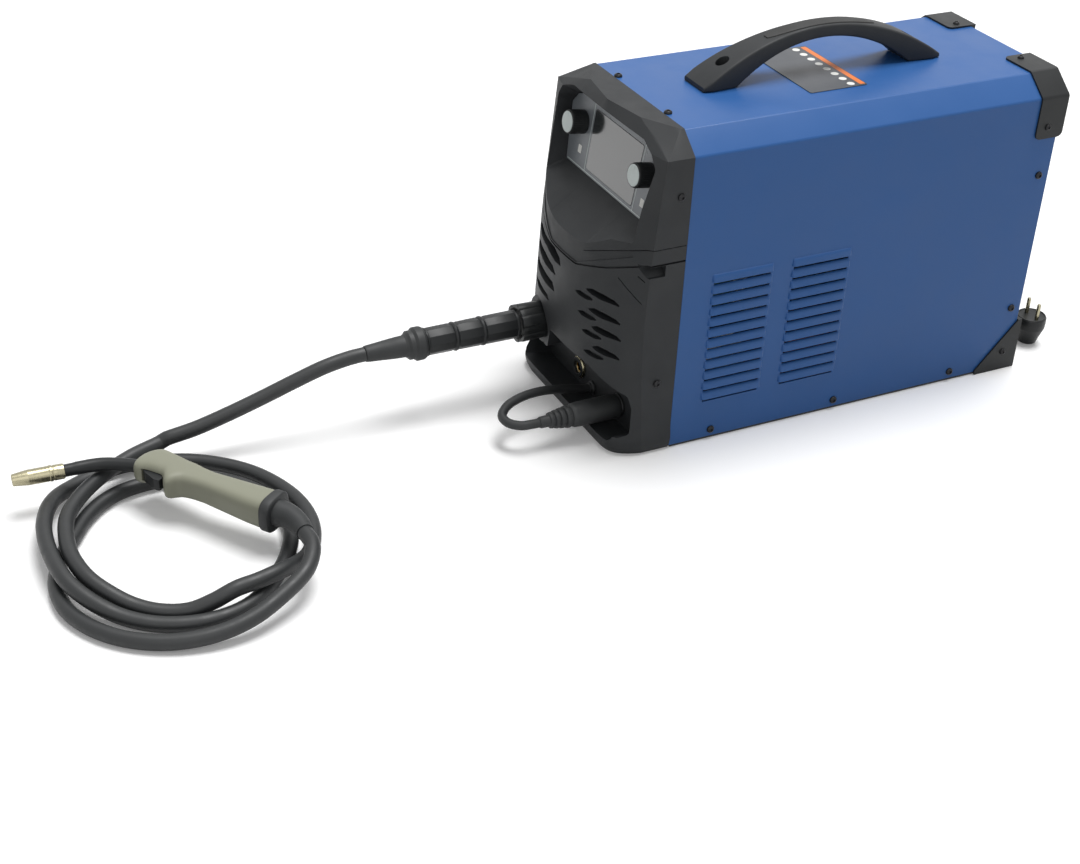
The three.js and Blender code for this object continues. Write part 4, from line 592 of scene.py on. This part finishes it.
def make_knob(name, x):
    """The knob stands square to the leaning panel."""
    face, end, r = -2.3, -22.8, KNOB_RADIUS
    seat = Matrix.Translation((x * MM, panel_y(KNOB_Z) * MM, KNOB_Z * MM)) @ Matrix.Rotation(-PANEL_LEAN, 4, "X")
    body = turned("body", "y", 0, 0, [
        (4, face + 0.01), (r, face), (r, face - 3), (r - 0.5, end + 1), (r - 1.1, end), (r - 1.6, end),
        (r - 1.7, end + 0.5), (1, end + 0.5),
    ], 96, 0.35)
    ribs = [turned("rib", "y", *at, [(0.5, face - 3.4), (0.5, end + 2.2)], 6)
            for at in circle(0, 0, r - 0.4, 40, 0)]
    cap = turned(name + "_cap", "y", 0, 0, [
        (r - 1.75, end + 0.6), (r - 1.75, end - 0.1), (r - 2.2, end - 0.4), (0.4, end - 0.5),
    ], 72, 0.2)
    pointer = block(name + "_pointer", (-0.55, 0.55), (end - 0.8, end), (6, 10.8))
    knob = join(name + SHOWN, body, *ribs)
    for thing in (knob, cap, pointer):
        thing.data.transform(seat)
    crisp(knob, BLACK_SATIN, name)
    crisp(cap, CAP, name)
    piece(soften(pointer, 0.15, 2), CAP, name)


make_knob("knob_left", -KNOB_X)
make_knob("knob_right", KNOB_X)

# ---- handle and top label
HANDLE_Y = (-176.4, 134.3)
ARCH_Y = (HANDLE_Y[0] + 42, HANDLE_Y[1] - 42)
HANDLE_SCREWS = (HANDLE_Y[0] + 33, HANDLE_Y[1] - 33)
HANDLE_SEAT = CASE_TOP + 0.3


def arch(y, y0, y1, low, rise):
    half = (y1 - y0) / 2
    radius = (half * half + rise * rise) / (2 * rise)
    return low + rise - radius + sqrt(max(0, radius ** 2 - (y - (y0 + y1) / 2) ** 2))


def handle_top(y):
    return arch(y, *HANDLE_Y, HANDLE_SEAT + 5, 48.5)


def make_handle():
    near_ends = [(ARCH_Y[0] + d, ARCH_Y[1] - d) for d in (0, 0.5, 2)]
    rings = []
    for y in sorted({*np.linspace(*HANDLE_Y, 90), *sum(near_ends, ())}):
        share = (y - HANDLE_Y[0]) / (HANDLE_Y[1] - HANDLE_Y[0])
        half = 23.9 - 10.4 * sin(max(0, min(1, share)) * pi) ** 1.4
        half -= max(0, 0.03 - share, share - 0.97) * 90
        top = handle_top(y)
        low = arch(y, *ARCH_Y, HANDLE_SEAT, 40) if ARCH_Y[0] < y < ARCH_Y[1] else HANDLE_SEAT
        inset, soft = (min(most, (top - low) / 3) for most in (3, 2.2))
        outline = fillet([(-half, low), (half, low), (half - inset * 0.4, top), (-half + inset * 0.4, top)],
                         [soft, soft, inset, inset], 4)
        rings.append(ring_at("y", outline, y))
    handle = loft("carrying_handle_shown", rings)
    for y in HANDLE_SCREWS:
        cut(handle, rod("well", "z", 0, y, 7.4, HANDLE_SEAT + 8, 450, 48), rod("hole", "z", 0, y, 3, 300, 450, 24))
    return soften(handle, 0.5, 2, 50)


def make_grip_pad():
    middle, reach = sum(HANDLE_Y) / 2, 70
    rings = []
    for y in np.linspace(middle - reach, middle + reach, 60):
        half = 9.4 * (1 - 0.55 * (abs(y - middle) / reach) ** 6)
        top = handle_top(y)
        outline = [(-half, top - 0.6), (half, top - 0.6), (half - 0.8, top + 1.2), (-half + 0.8, top + 1.2)]
        rings.append(ring_at("y", fillet(outline, 0.5, 3), y))
    return loft("handle_grip_pad_shown", rings)


piece(make_handle(), BLACK)
crisp(make_grip_pad(), GRIPPY)
for name, y in zip(("handle_screw_front", "handle_screw_rear"), HANDLE_SCREWS):
    profile = [(5.4, 8.3), (5.4, 10.4), (4.2, 12.2), (2.4, 12.6), (2.4, 10.6), (0.3, 10.4)]
    crisp(turned(name + SHOWN, "z", 0, y, profile, 40, 0.3, HANDLE_SEAT), STEEL)

plate = prism("top_label_shown", "z", fillet(rectangle(-62.5, -67, 62.5, 7.3), 2.5, 4), CASE_TOP + 0.3, CASE_TOP + 0.8)
piece(soften(plate, 0.12, 2), LABEL)
dots = [turned("dot", "z", -54.6 + i * 15.6, -10, [(4.4, 0.7), (4.4, 0.95)], 32, start=CASE_TOP) for i in range(8)]
crisp(join("label_dots", *dots), WHITE_INK)
crisp(prism("label_stripe", "z", fillet(rectangle(-59.5, -1, 59.5, 5.8), 1, 3), CASE_TOP + 0.7, CASE_TOP + 0.92),
      ORANGE_INK)

# ---- corner guards
GUARD_FRONT, GUARD_BACK = 203.5, 241.5


def corner_waste(u, v, up, along=1):
    """What has to go to round a corner at (u, v)."""
    radius = 6.5
    arc = [(u + along * radius * (1 - cos(a)), v + up * radius * (1 - sin(a)))
           for a in np.linspace(0, pi / 2, 7)]
    return arc + [(u + along * radius, v - up * 2), (u - along * 2, v - up * 2), (u - along * 2, v + up * radius)]


def make_upper_guard(name, side):
    def outline(grow):
        return fillet(shrink(CASE_OUTLINE, -grow), [0, 0, 6, 6, 6, 6], 6)

    def span(near, far):
        return tuple(sorted((side * near, side * far)))

    guard = prism(name + SHOWN, "y", outline(2.3), GUARD_FRONT, GUARD_BACK)
    combine(guard, prism("inside", "y", outline(0.3), 190, CASE_REAR + 0.3))
    combine(guard, block("keep", span(50, 144), (150, 300), (304, 400)), "INTERSECT")
    waste = [(side * x, y) for y, x in corner_waste(GUARD_FRONT, 50, 1)]
    cut(guard, block("rear", span(-30, 98), (CASE_REAR - 3, 300), (290, CASE_TOP - 26)),
        prism("corner", "x", corner_waste(GUARD_FRONT, 304, 1), side * 112, side * 140),
        prism("corner", "x", corner_waste(GUARD_BACK, 304, 1, -1), side * 112, side * 140),
        prism("corner", "z", waste, 360, 382))
    piece(soften(guard, 0.9, 3, 30), BLACK_SATIN)


def make_lower_guard(name, side):
    x = side * (CASE_HALF + 0.3)
    plate = prism(name + SHOWN, "x", fillet([
        (182, 0.3), (GUARD_BACK, 0.3), (GUARD_BACK, 66), (GUARD_BACK - 5, 66), (182, 6),
    ], [1, 0, 0, 2, 1], 3), x, x + side * 2)
    outline = [(x + side * 2, 0.3), (x + side * 2, 66), (side * (CASE_HALF - 12), 66), (side * 58, 6), (side * 58, 0.3)]
    combine(plate, prism("back", "y", outline, CASE_REAR + 0.3, GUARD_BACK), "UNION")
    piece(soften(plate, 0.9, 3, 30), BLACK_SATIN)


make_upper_guard("guard_top_right", 1)
make_upper_guard("guard_top_left", -1)
make_lower_guard("guard_bottom_right", 1)
make_lower_guard("guard_bottom_left", -1)
screws = [button_screw("z", side * 60, 220, CASE_TOP + 2.2, 1, 0.85) for side in (-1, 1)]
screws += [button_screw("x", y, z, side * (CASE_HALF + 2.2), side, 0.85)
           for y, z in ((218.5, 318), (220, 25)) for side in (-1, 1)]
crisp(join("guard_screws", *screws), STEEL)


# ---- sockets
def make_socket(name, x, z, ring):
    back = POCKET_BACK - 0.3
    collar = [(13.4, 0), (13.4, 1.8), (12.4, 3), (9.6, 3), (9.2, 1.2), (6.2, 1.2), (6.2, -22), (0.2, -22.1)]
    crisp(turned(name + SHOWN, "y", x, z, collar, 64, 0.4, back, -1), ring)
    lug = [(6.15, -20), (6.15, 0.6), (5.4, 1.3), (5.4, -20)]
    crisp(turned(name + "_core", "y", x, z, lug, 48, 0.3, back, -1), BRASS)


make_socket("socket_minus", MINUS_X, MINUS_Z, NICKEL)
crisp(turned("socket_minus_insert", "y", MINUS_X, MINUS_Z, [
    (12, 0.3), (12, 3.6), (11.4, 4.4), (8, 4.4), (7.6, 3.6), (7.6, 0.3),
], 64, 0.3, POCKET_BACK, -1), BLACK_SATIN)
make_socket("socket_plus", PLUS_X, PLUS_Z, BLACK_SATIN)
crisp(turned("lead_bushing_shown", "y", LEAD_X, LEAD_Z, [
    (8, -279.3), (8, -281.4), (6.6, -282.4), (6.4, -284.6), (5.2, -285), (4.6, -284.4), (4.6, -279),
], 48, 0.3), RUBBER)

# ---- torch connector
NUT_FRONT, NUT_BACK = -352.5, BOSS_FRONT - 0.3


def make_nut():
    nut = turned("nut", "y", EURO_X, EURO_Z, [
        (15.4, NUT_FRONT + 6), (19.2, NUT_FRONT), (21.2, NUT_FRONT + 0.6), (21.6, NUT_FRONT + 5), (21.8, NUT_BACK),
        (15, NUT_BACK),
    ], 96, 0.5)
    wings = []
    for i in range(6):
        a = (i + 0.5) / 6 * 2 * pi
        rings = []
        for y, rise in ((NUT_FRONT - 0.2, 1.9), (NUT_FRONT + 1, 2.5), (NUT_FRONT + 12, 2.2), (NUT_BACK, 1.4)):
            spots = [(21.2 + rise * cos(k / 6 * pi / 2) ** 0.5, a + k / 6 * 0.34) for k in range(-6, 7)]
            spots += [(19, a + d) for d in (0.3, 0, -0.3)]
            rings.append([(EURO_X + r * cos(b), y, EURO_Z + r * sin(b)) for r, b in spots])
        wings.append(loft("wing", rings))
    return join("connector_nut_shown", nut, *wings)


def make_connector_grip():
    parts = []
    for y0, y1, r0, r1 in ((3, 43, 16.2, 15.9), (47, 77, 15.9, 15.6), (81, 114, 15.6, 15.4)):
        rings = []
        for y, scale in ((y0, 0.94), (y0 + 3, 1), (y1 - 3, 1), (y1, 0.94)):
            radius = (r0 + (r1 - r0) * (y - y0) / (y1 - y0)) * scale
            facets = fillet(circle(EURO_X, EURO_Z, radius * 1.03, 10, 0.25), 1.2, 3)
            rings.append(ring_at("y", facets, NUT_FRONT - y))
        parts.append(loft("facets", rings))
    parts.append(turned("core", "y", EURO_X, EURO_Z, [
        (15.2, 0.4), (16.4, 1), (16.4, 4), (15, 5), (15, 42), (16.6, 43), (17.1, 45), (16.6, 47), (15, 48),
        (14.6, 76), (16.2, 77), (16.9, 79), (16.2, 81), (14.6, 82), (14.6, 112), (16.4, 113.5), (16.4, 115),
    ], 72, 0.4, NUT_FRONT, -1))
    return join("connector_grip_shown", *parts)


crisp(make_nut(), BLACK_SATIN)
crisp(make_connector_grip(), BLACK_SATIN)
crisp(turned("connector_relief_shown", "y", EURO_X, EURO_Z, [
    (15, 115.3), (17.4, 116), (19.2, 119), (19.3, 127), (17.6, 129), (16.6, 130), (16.6, 135), (14, 137.5),
    (12.6, 140), (12.2, 150), (9.4, 184), (8.9, 186.4), (7, 186.5),
], 72, 0.7, NUT_FRONT, -1), RUBBER)


# ---- leads
def smooth_route(points, step):
    """The same centripetal curve as the solids follow, cut into even steps."""
    pts = [np.array(p, float) for p in points]
    pts = [2 * pts[0] - pts[1], *pts, 2 * pts[-1] - pts[-2]]
    fine = []
    for p0, p1, p2, p3 in zip(pts, pts[1:], pts[2:], pts[3:]):
        d0, d1, d2 = (sqrt(np.linalg.norm(b - a)) for a, b in ((p0, p1), (p1, p2), (p2, p3)))
        t1 = ((p1 - p0) / d0 - (p2 - p0) / (d0 + d1) + (p2 - p1) / d1) * d1
        t2 = ((p2 - p1) / d1 - (p3 - p1) / (d1 + d2) + (p3 - p2) / d2) * d1
        for k in range(40):
            t = k / 40
            fine.append(p1 + t1 * t + (-3 * p1 + 3 * p2 - 2 * t1 - t2) * t * t + (2 * p1 - 2 * p2 + t1 + t2) * t ** 3)
    fine.append(pts[-2])
    fine = np.array(fine)
    along = np.concatenate([[0], np.cumsum(np.linalg.norm(np.diff(fine, axis=0), axis=1))])
    count = max(2, round(along[-1] / step))
    at = np.linspace(0, along[-1], count + 1)
    return [tuple(np.interp(s, along, fine[:, i]) for i in range(3)) for s in at]


def lead(name, points, diameter, material, replaces=()):
    curve = bpy.data.curves.new(name, "CURVE")
    curve.dimensions = "3D"
    curve.bevel_depth = diameter / 2 * MM
    curve.bevel_resolution = 7
    curve.use_fill_caps = True
    spline = curve.splines.new("POLY")
    spline.points.add(len(points) - 1)
    for point, p in zip(spline.points, points):
        point.co = (*[c * MM for c in p], 1)
    return piece(link_object(name, curve), material, replaces=replaces)


HOSE_FALL = [(EURO_X, -539.3, EURO_Z), (EURO_X, -557, EURO_Z - 1), (-55.3, -585.5, 84), (-57, -617, 73.5),
             (-58.8, -656, 59.5), (-59.8, -695, 47), (-61.5, -733, 36), (-64.2, -768.6, 28.2)]
COIL_X, COIL_Y, COIL_TURN, REST, OVER = 101.6, -790.6, 1.65, 8.35, 25.7
COIL = [  # angle in degrees, distance from the middle and height
    (171, 168, 26.5), (185, 152, OVER), (202, 138, OVER), (220, 129.5, OVER), (236, 125, OVER), (253, 119, OVER),
    (269, 117, OVER), (287, 117, 24), (300, 115, 19), (314, 112.5, 11.5), (328, 112, 8.6), (342, 112, 10),
    (354, 111.5, 17), (366, 112, 25), (378, 114.5, OVER), (390, 118, 24.6), (402, 120, 18), (415, 123, 11),
    (430, 125, REST), (446, 127, REST), (466, 130, REST), (492, 138, REST), (513, 147, REST), (528, 154, REST), (545,
    164, REST),
    (556, 166, REST), (568, 164, 10.5), (580, 158.5, 17.5), (591, 151, 23.5), (604, 143.5, OVER), (620, 136.5, OVER),
    (640, 135.5, OVER), (650, 135.5, 23), (662, 134, 17.5), (674, 132, 11.5), (688, 130.6, REST), (704, 130, REST),
    (718, 127, REST), (730, 122, REST), (742, 114, REST), (756, 106, REST), (775, 102, REST), (800, 103, REST),
    (830, 108, REST), (860, 114, REST), (890, 120, REST), (914, 122, REST), (929, 121, REST), (945, 118, REST),
    (958, 117, REST), (972, 122, REST), (985, 131, REST), (998, 141, REST), (1012, 150, REST), (1026, 155, REST),
    (1040, 157.5, REST), (1055, 158, 9.5), (1070, 157, 13), (1084, 154.5, 19), (1098, 150, 27),
]
CONE_TIP = (173.4, -691.5, TORCH_Z)
HOSE_END = [(223.3, -708.1, 35), (202.9, -694.2, 40.5), (186.7, -690.6, TORCH_Z), (181.4, -691.3, TORCH_Z),
            (173.7, -691.5, TORCH_Z)]
loops = [(COIL_X + r * cos(radians(t + COIL_TURN)), COIL_Y + r * sin(radians(t + COIL_TURN)), z)
         for t, r, z in COIL]
hose_route = smooth_route(HOSE_FALL + loops + HOSE_END, 5)
hose = lead("torch_hose_shown", hose_route, 16.5, HOSE, ["torch_hose", "torch_hose_coil"])

POLARITY = [(LEAD_X, -285.3, LEAD_Z), (LEAD_X, -292.3, LEAD_Z + 0.4), (LEAD_X + 1, -303.3, LEAD_Z + 4), (7, -325, 30),
            (13, -352, 37), (19, -379, 39), (27, -401, 36.5), (40, -413, 33.6), (54, -412, PLUS_Z + 0.3),
            (64, -401.5, PLUS_Z), (PLUS_X - 0.2, -388, PLUS_Z), (PLUS_X, -380.3, PLUS_Z)]
polarity_route = smooth_route(POLARITY, 3)
polarity = lead("polarity_lead_shown", polarity_route, 10.6, RUBBER)
polarity_plug = crisp(turned("polarity_plug_shown", "y", PLUS_X, PLUS_Z, [
    (5.6, -270), (5.6, -282.6), (13, -282.8), (14, -284), (14.3, -290), (14.2, -330), (13.8, -338), (12.4, -341.6),
    (10.8, -342.6), (10.8, -344.4), (12.9, -345.2), (12.5, -349.2), (9.8, -350), (9.8, -351.6), (11.8, -352.4),
    (11.3, -356), (8.9, -356.8), (8.9, -358.2), (10.7, -359), (10.1, -362.2), (7.9, -363), (7.9, -364.4),
    (9.5, -365.2), (8.9, -368), (6.9, -368.8), (6.6, -378.6), (5.9, -380),
], 72, 0.35), RUBBER)

# ---- torch
TORCH_HEADING = radians(217.15)
TORCH_X, TORCH_Y = 131.4, -704.6
ALONG = (cos(TORCH_HEADING), sin(TORCH_HEADING))
ACROSS = (cos(TORCH_HEADING + pi / 2), sin(TORCH_HEADING + pi / 2))


def torch_point(u, v, z=TORCH_Z):
    """A point given by how far it is along the torch and across it."""
    return (TORCH_X + u * ALONG[0] + v * ACROSS[0], TORCH_Y + u * ALONG[1] + v * ACROSS[1], z)


def torch_prism(name, outline, half):
    return loft(name, [[torch_point(u, v, TORCH_Z + h) for u, v in outline] for h in (-half, half)])


GRIP = np.array([  # place along the torch, back, trigger side and half thickness
    (12, -18.5, 18.5, 17.5), (30, -18, 18, 17), (60, -16.5, 15, 16), (86, -15.5, 12.5, 15), (100, -17, 13, 15),
    (112, -19.5, 15, 15.5), (122, -21, 27, 15.5), (128, -21.5, 20, 15.5), (134, -22, 12.5, 15.5),
    (150, -24.5, 12.5, 15.5), (158, -26, 13.5, 15), (166, -20, 17.5, 14), (170, -12, 14, 12),
])


def grip_size(u):
    return [float(np.interp(u, GRIP[:, 0], GRIP[:, i])) for i in (1, 2, 3)]


def grip_section(u, back, front, half, sides=48):
    """A rounded square across the handle."""
    middle, wide = (back + front) / 2, (front - back) / 2
    ring = []
    for x, y in circle(0, 0, 1, sides):
        bx, by = (copysign(abs(c) ** 0.62, c) for c in (x, y))
        ring.append(torch_point(u, middle + wide * bx, TORCH_Z + half * by))
    return ring


def make_torch_handle():
    stations = sorted({*GRIP[:, 0], *np.arange(12.0, 170.0, 2.0)})
    sizes = np.array([grip_size(u) for u in stations])
    for _ in range(3):
        sizes[1:-1] = (sizes[:-2] + 2 * sizes[1:-1] + sizes[2:]) / 4
    handle = loft("torch_handle_shown", [grip_section(u, *size) for u, size in zip(stations, sizes)])
    combine(handle, torch_prism("slot", rectangle(130.4, 3.5, 159.5, 60), 7.3))
    return soften(handle, 0.7, 2, 35)


def make_inlay():
    """The soft strip along the back of the handle."""
    rings = []
    for u in np.linspace(16, 98, 50):
        back, front, half = grip_size(u)
        tall = 11 * min(1, (1 - (u - 16) / 82) * 6 + 0.15) ** 0.6
        middle, wide = (back + front) / 2, (front - back) / 2
        ring = []
        for k in range(-8, 9):
            h = tall * k / 8
            depth = wide * (1 - abs(h / half) ** 3.2) ** (1 / 3.2) + 0.5 * (1 - abs(k / 8) ** 4)
            ring.append(torch_point(u, middle - depth, TORCH_Z + h))
        ring += [torch_point(u, middle - wide + 5, TORCH_Z + tall * k / 8 * 0.9) for k in (4, -4)]
        rings.append(ring)
    return loft("torch_inlay", rings)


handle = piece(make_torch_handle(), KHAKI)
crisp(make_inlay(), GRIPPY)
trigger_outline = fillet([(132, 9.5), (132, 21.5), (138, 22), (152, 17), (158, 13.5), (158, 6.5), (152, 6.5)],
                         [0.5, 2, 3, 4, 1.5, 0.5, 0.5], 4)
trigger = torch_prism("torch_trigger_shown", trigger_outline, 6.6)
piece(soften(trigger, 0.9, 3), BLACK_SATIN, "torch_trigger")

NECK_END = (-25.2, -883.3, TORCH_Z)
neck_points = [torch_point(161, 2.2), torch_point(167, 2.5), torch_point(178, 4.5), (-21.6, -842.2, TORCH_Z),
               (-24.2, -855.3, TORCH_Z), (-24.8, -868.3, TORCH_Z), NECK_END]
neck = tube("torch_neck_shown", smooth_route(neck_points, 2.5),
            lambda t: 7.1 - 0.4 * min(1, max(0, t - 0.86) * 30), 40)
piece(soften(neck, 0, smooth=50), BLACK_SATIN)
NOZZLE_DIR = (-0.0512, -0.9987)


def along_nozzle(name, profile):
    """A turned piece on the nozzle's line; the profile lists distances from the neck's end and radii."""
    (dx, dy), (x, y, z) = NOZZLE_DIR, NECK_END
    return loft(name, [[(x + dx * w - dy * a, y + dy * w + dx * a, z + b) for a, b in circle(0, 0, r, 56)]
                       for r, w in fillet(profile, 0.3, 3, closed=False)])


nozzle = crisp(along_nozzle("gas_nozzle_shown", [
    (4.6, 0.35), (8.2, 0.35), (8.3, 10.8), (7.9, 11.4), (7.9, 12.2), (8.7, 12.6), (8.7, 15), (8.3, 15.6), (8.3, 37),
    (6.4, 52.6), (6.3, 53), (5.3, 53), (5.3, 52), (7.1, 37), (7.1, 4), (4.6, 4),
]), NICKEL)
tip = crisp(along_nozzle("contact_tip_shown", [
    (0.4, 0.4), (3.9, 0.4), (3.9, 26), (3, 28), (3, 46), (2.2, 49.6), (0.7, 50), (0.5, 46),
]), COPPER)

collar = loft("collar", [grip_section(u, -r, r, r * 0.95, 56) for u, r in (
    (0, 17.5), (0.6, 19.4), (1.6, 20.1), (9.5, 20.1), (11, 19.6), (11.6, 18.6))])
cone_route = smooth_route([torch_point(2, 0), torch_point(-12, 0), (156.8, -692.4, TORCH_Z), CONE_TIP], 3)
cone = tube("cone", cone_route, lambda t: 14.5 - 5.3 * t, 56)
relief = piece(soften(join("torch_relief_shown", collar, cone), 0, smooth=38), RUBBER)

# ---- mains lead
GLAND_X, GLAND_Z, MAINS_EXIT = 20, 42, 268.7
MAINS_X, MAINS_Y, LOOP_RADIUS, MAINS_LOOPS, MAINS_PITCH, MAINS_REST = -92, 322, 52, 4.5, 9.9, 4.6
PLUG_X, PLUG_Y, PLUG_Z, PLUG_OUT = 82.5, 298.5, 11, 48.5
LOOP_STEPS = 24
mains_points = [(GLAND_X + x, MAINS_EXIT + y, z) for x, y, z in (
    (0, 0.3, GLAND_Z), (0, 12, GLAND_Z + 0.2), (-5, 40, 43.5), (-20, 68, 45.5), (-45, 90, 47.2))]
mains_points.append((MAINS_X + 37, MAINS_Y + LOOP_RADIUS - 2, 48.5))
for i in range(int(MAINS_LOOPS * LOOP_STEPS) + 1):
    loops = i / LOOP_STEPS
    a = pi / 2 + loops * 2 * pi
    mains_points.append((MAINS_X + LOOP_RADIUS * cos(a), MAINS_Y + LOOP_RADIUS * sin(a),
                         MAINS_REST + MAINS_PITCH * (MAINS_LOOPS - loops)))
mains_points += [
    (MAINS_X + 34, MAINS_Y - LOOP_RADIUS + 1, MAINS_REST), (MAINS_X + 74, MAINS_Y - LOOP_RADIUS + 8, MAINS_REST),
    (PLUG_OUT - 34, PLUG_Y - 2.5, MAINS_REST + 2), (PLUG_OUT - 9, PLUG_Y, 10.8), (PLUG_OUT - 0.3, PLUG_Y, PLUG_Z),
]
mains_route = smooth_route(mains_points, 4)
mains = lead("mains_lead_shown", mains_route, 9, RUBBER, ["mains_lead", "mains_lead_coil"])
tie = prism("mains_coil_tie", "y", fillet(rectangle(-46.6, 5.9, -33.4, 47.8), 5, 6), MAINS_Y - 8, MAINS_Y + 8)
cut(tie, prism("inside", "y", fillet(rectangle(-45.2, 7.1, -34.8, 46.6), 4.5, 6), MAINS_Y - 9, MAINS_Y + 9))
piece(soften(tie, 0.25), RUBBER)
plug_body = turned("body", "z", PLUG_X, PLUG_Y, [
    (9, 0.4), (11.4, 1.8), (13.6, 9), (16.4, 17), (18.4, 23), (18.9, 30), (18.6, 36), (17.4, 38), (16.4, 38),
    (16, 36.6), (1, 36.6),
], 72, 0.9)
plug_relief = turned("relief", "x", PLUG_Y, PLUG_Z, [
    (8, 12), (7.8, 19), (6.6, 22), (6.8, 23.5), (5.8, 26), (6.1, 27.5), (5, 30), (5, PLUG_X - PLUG_OUT),
], 40, 0.4, PLUG_X, -1)
plug = crisp(join("mains_plug_shown", plug_body, plug_relief), BLACK_SATIN)
pins = [turned("pin", "z", PLUG_X + s * 9.5, PLUG_Y, [(2.4, 36), (2.4, 55.6), (1.6, 56.9), (0.5, 57)], 32, 0.4)
        for s in (-1, 1)]
pins = crisp(join("mains_plug_pins", *pins), NICKEL)

# ---- sheet metal, rear, door and inside
for node, material in (("base_pan", DARK_SHEET), ("divider_panel", ZINC), ("euro_socket", BRASS)):
    paint(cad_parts[node], material)
for node, material, width, slot in (
    ("rear_panel", DARK_SHEET, 0.3, "dark_sheet"), ("fan_frame", BLACK_SATIN, 0.3, "black_plastic"),
    ("switch_housing", BLACK_SATIN, 0.5, "black_plastic"), ("gas_valve", BRASS, 0.3, "brass"),
    ("mains_gland", RUBBER, 0.4, "black_rubber"), ("display_board", GREEN, 0, "circuit_green"),
    ("power_board", GREEN, 0.2, "circuit_green"), ("heat_sink", ALUMINIUM, 0.2, "aluminium"),
    ("output_choke", VARNISH, 0.8, "varnished_copper"), ("spool_hub", BLACK_SATIN, 0.4, "black_plastic"),
    ("feeder_plate", ALUMINIUM, 0.3, "aluminium"), ("feed_motor", ZINC, 0.5, "zinc_sheet"),
    ("wire_guide", NICKEL, 0.2, "nickel"),
):
    refined(node, material, width)
for node, material, width, slot in (
    ("spool_door", PAINT, 0.35, "blue_paint"), ("door_latch_lower", BLACK_SATIN, 0.4, "black_plastic"),
    ("door_latch_upper", BLACK_SATIN, 0.4, "black_plastic"), ("fan_rotor", BLACK_SATIN, 0.2, "black_plastic"),
    ("switch_rocker", RED, 0.4, "switch_red"), ("wire_spool", WIRE, 0.3, "welding_wire"),
    ("drive_roller", ZINC, 0.2, "zinc_sheet"), ("idler_roller", ZINC, 0.2, "zinc_sheet"),
    ("pressure_arm", BLACK_SATIN, 0.4, "black_plastic"),
):
    refined(node, material, width, node)


# ---- floor, light and camera
def seen_ray(nodes, links):
    """One for rays of the picture, seen straight, in a reflection or through glass, and nought for the others."""
    rays = nodes.new("ShaderNodeLightPath")
    first, second = (math_node(nodes, "MAXIMUM") for _ in range(2))
    links.new(rays.outputs["Is Camera Ray"], first.inputs[0])
    links.new(rays.outputs["Is Glossy Ray"], first.inputs[1])
    links.new(first.outputs[0], second.inputs[0])
    links.new(rays.outputs["Is Transmission Ray"], second.inputs[1])
    return second.outputs[0]


def math_node(nodes, operation):
    node = nodes.new("ShaderNodeMath")
    node.operation = operation
    return node


def make_floor():
    """White to the eye, and greyer for the light that it throws back on the piece."""
    white = bpy.data.materials.new("studio_floor")
    white.use_nodes = True
    nodes, links = white.node_tree.nodes, white.node_tree.links
    shader = fill(nodes["Principled BSDF"], {
        "Roughness": 0.9, "Specular IOR Level": 0.1, "Emission Color": (1, 1, 1, 1)})
    seen = seen_ray(nodes, links)
    tone = nodes.new("ShaderNodeMix")
    tone.data_type = "RGBA"
    fill(tone, {"A": (0.46, 0.46, 0.46, 1), "B": (0.95, 0.95, 0.95, 1)})
    links.new(seen, tone.inputs["Factor"])
    links.new(tone.outputs["Result"], shader.inputs["Base Color"])
    lift = fill(math_node(nodes, "MULTIPLY"), {1: 0.1})
    links.new(seen, lift.inputs[0])
    links.new(lift.outputs[0], shader.inputs["Emission Strength"])
    floor = new_object("floor", ring_at("z", rectangle(-9000, -9000, 9000, 9000), 0), [(0, 1, 2, 3)])
    floor.data.materials.append(white)
    return floor


def make_world():
    world = bpy.data.worlds.new("studio")
    bpy.context.scene.world = world
    world.use_nodes = True
    nodes, links = world.node_tree.nodes, world.node_tree.links
    level = fill(nodes.new("ShaderNodeMapRange"), {"To Min": 0.32, "To Max": 1})
    links.new(seen_ray(nodes, links), level.inputs["Value"])
    background = fill(nodes["Background"], {"Color": (1, 1, 1, 1)})
    links.new(level.outputs["Result"], background.inputs["Strength"])


def lamp(name, place_at, aim, size, power):
    light = bpy.data.lights.new(name, "AREA")
    light.shape = "DISK"
    light.size = size
    light.energy = power
    thing = link_object(name, light)
    thing.location = place_at
    thing.rotation_euler = (Vector(aim) - Vector(place_at)).to_track_quat("-Z", "Y").to_euler()


def make_camera():
    """The photo's camera, as fitted to the edges of the case."""
    data = bpy.data.cameras.new("camera")
    data.sensor_width = 36
    data.lens = 58.734
    data.clip_end = 50
    camera = link_object("camera", data)
    azimuth, elevation, roll = (radians(a) for a in (62.542, 32.603, 2.670))
    behind = Vector((sin(azimuth) * cos(elevation), -cos(azimuth) * cos(elevation),
                     sin(elevation)))
    right = Vector((cos(azimuth), sin(azimuth), 0))
    above = behind.cross(right)
    view_x = right * cos(roll) + above * sin(roll)
    view_y = above * cos(roll) - right * sin(roll)
    turn = Matrix((view_x, view_y, behind)).transposed().to_4x4()
    camera.matrix_world = Matrix.Translation((1.53497, -1.14145, 1.07845)) @ turn
    bpy.context.scene.camera = camera
    bpy.context.scene.view_settings.view_transform = "Standard"


make_floor()
make_world()
lamp("key", (-1.2, 2.6, 12.0), (0, 0, 0), 7.6, 1540)
lamp("fill", (2.2, -1.6, 1.8), (0, -0.2, 0.1), 2.2, 11)
make_camera()
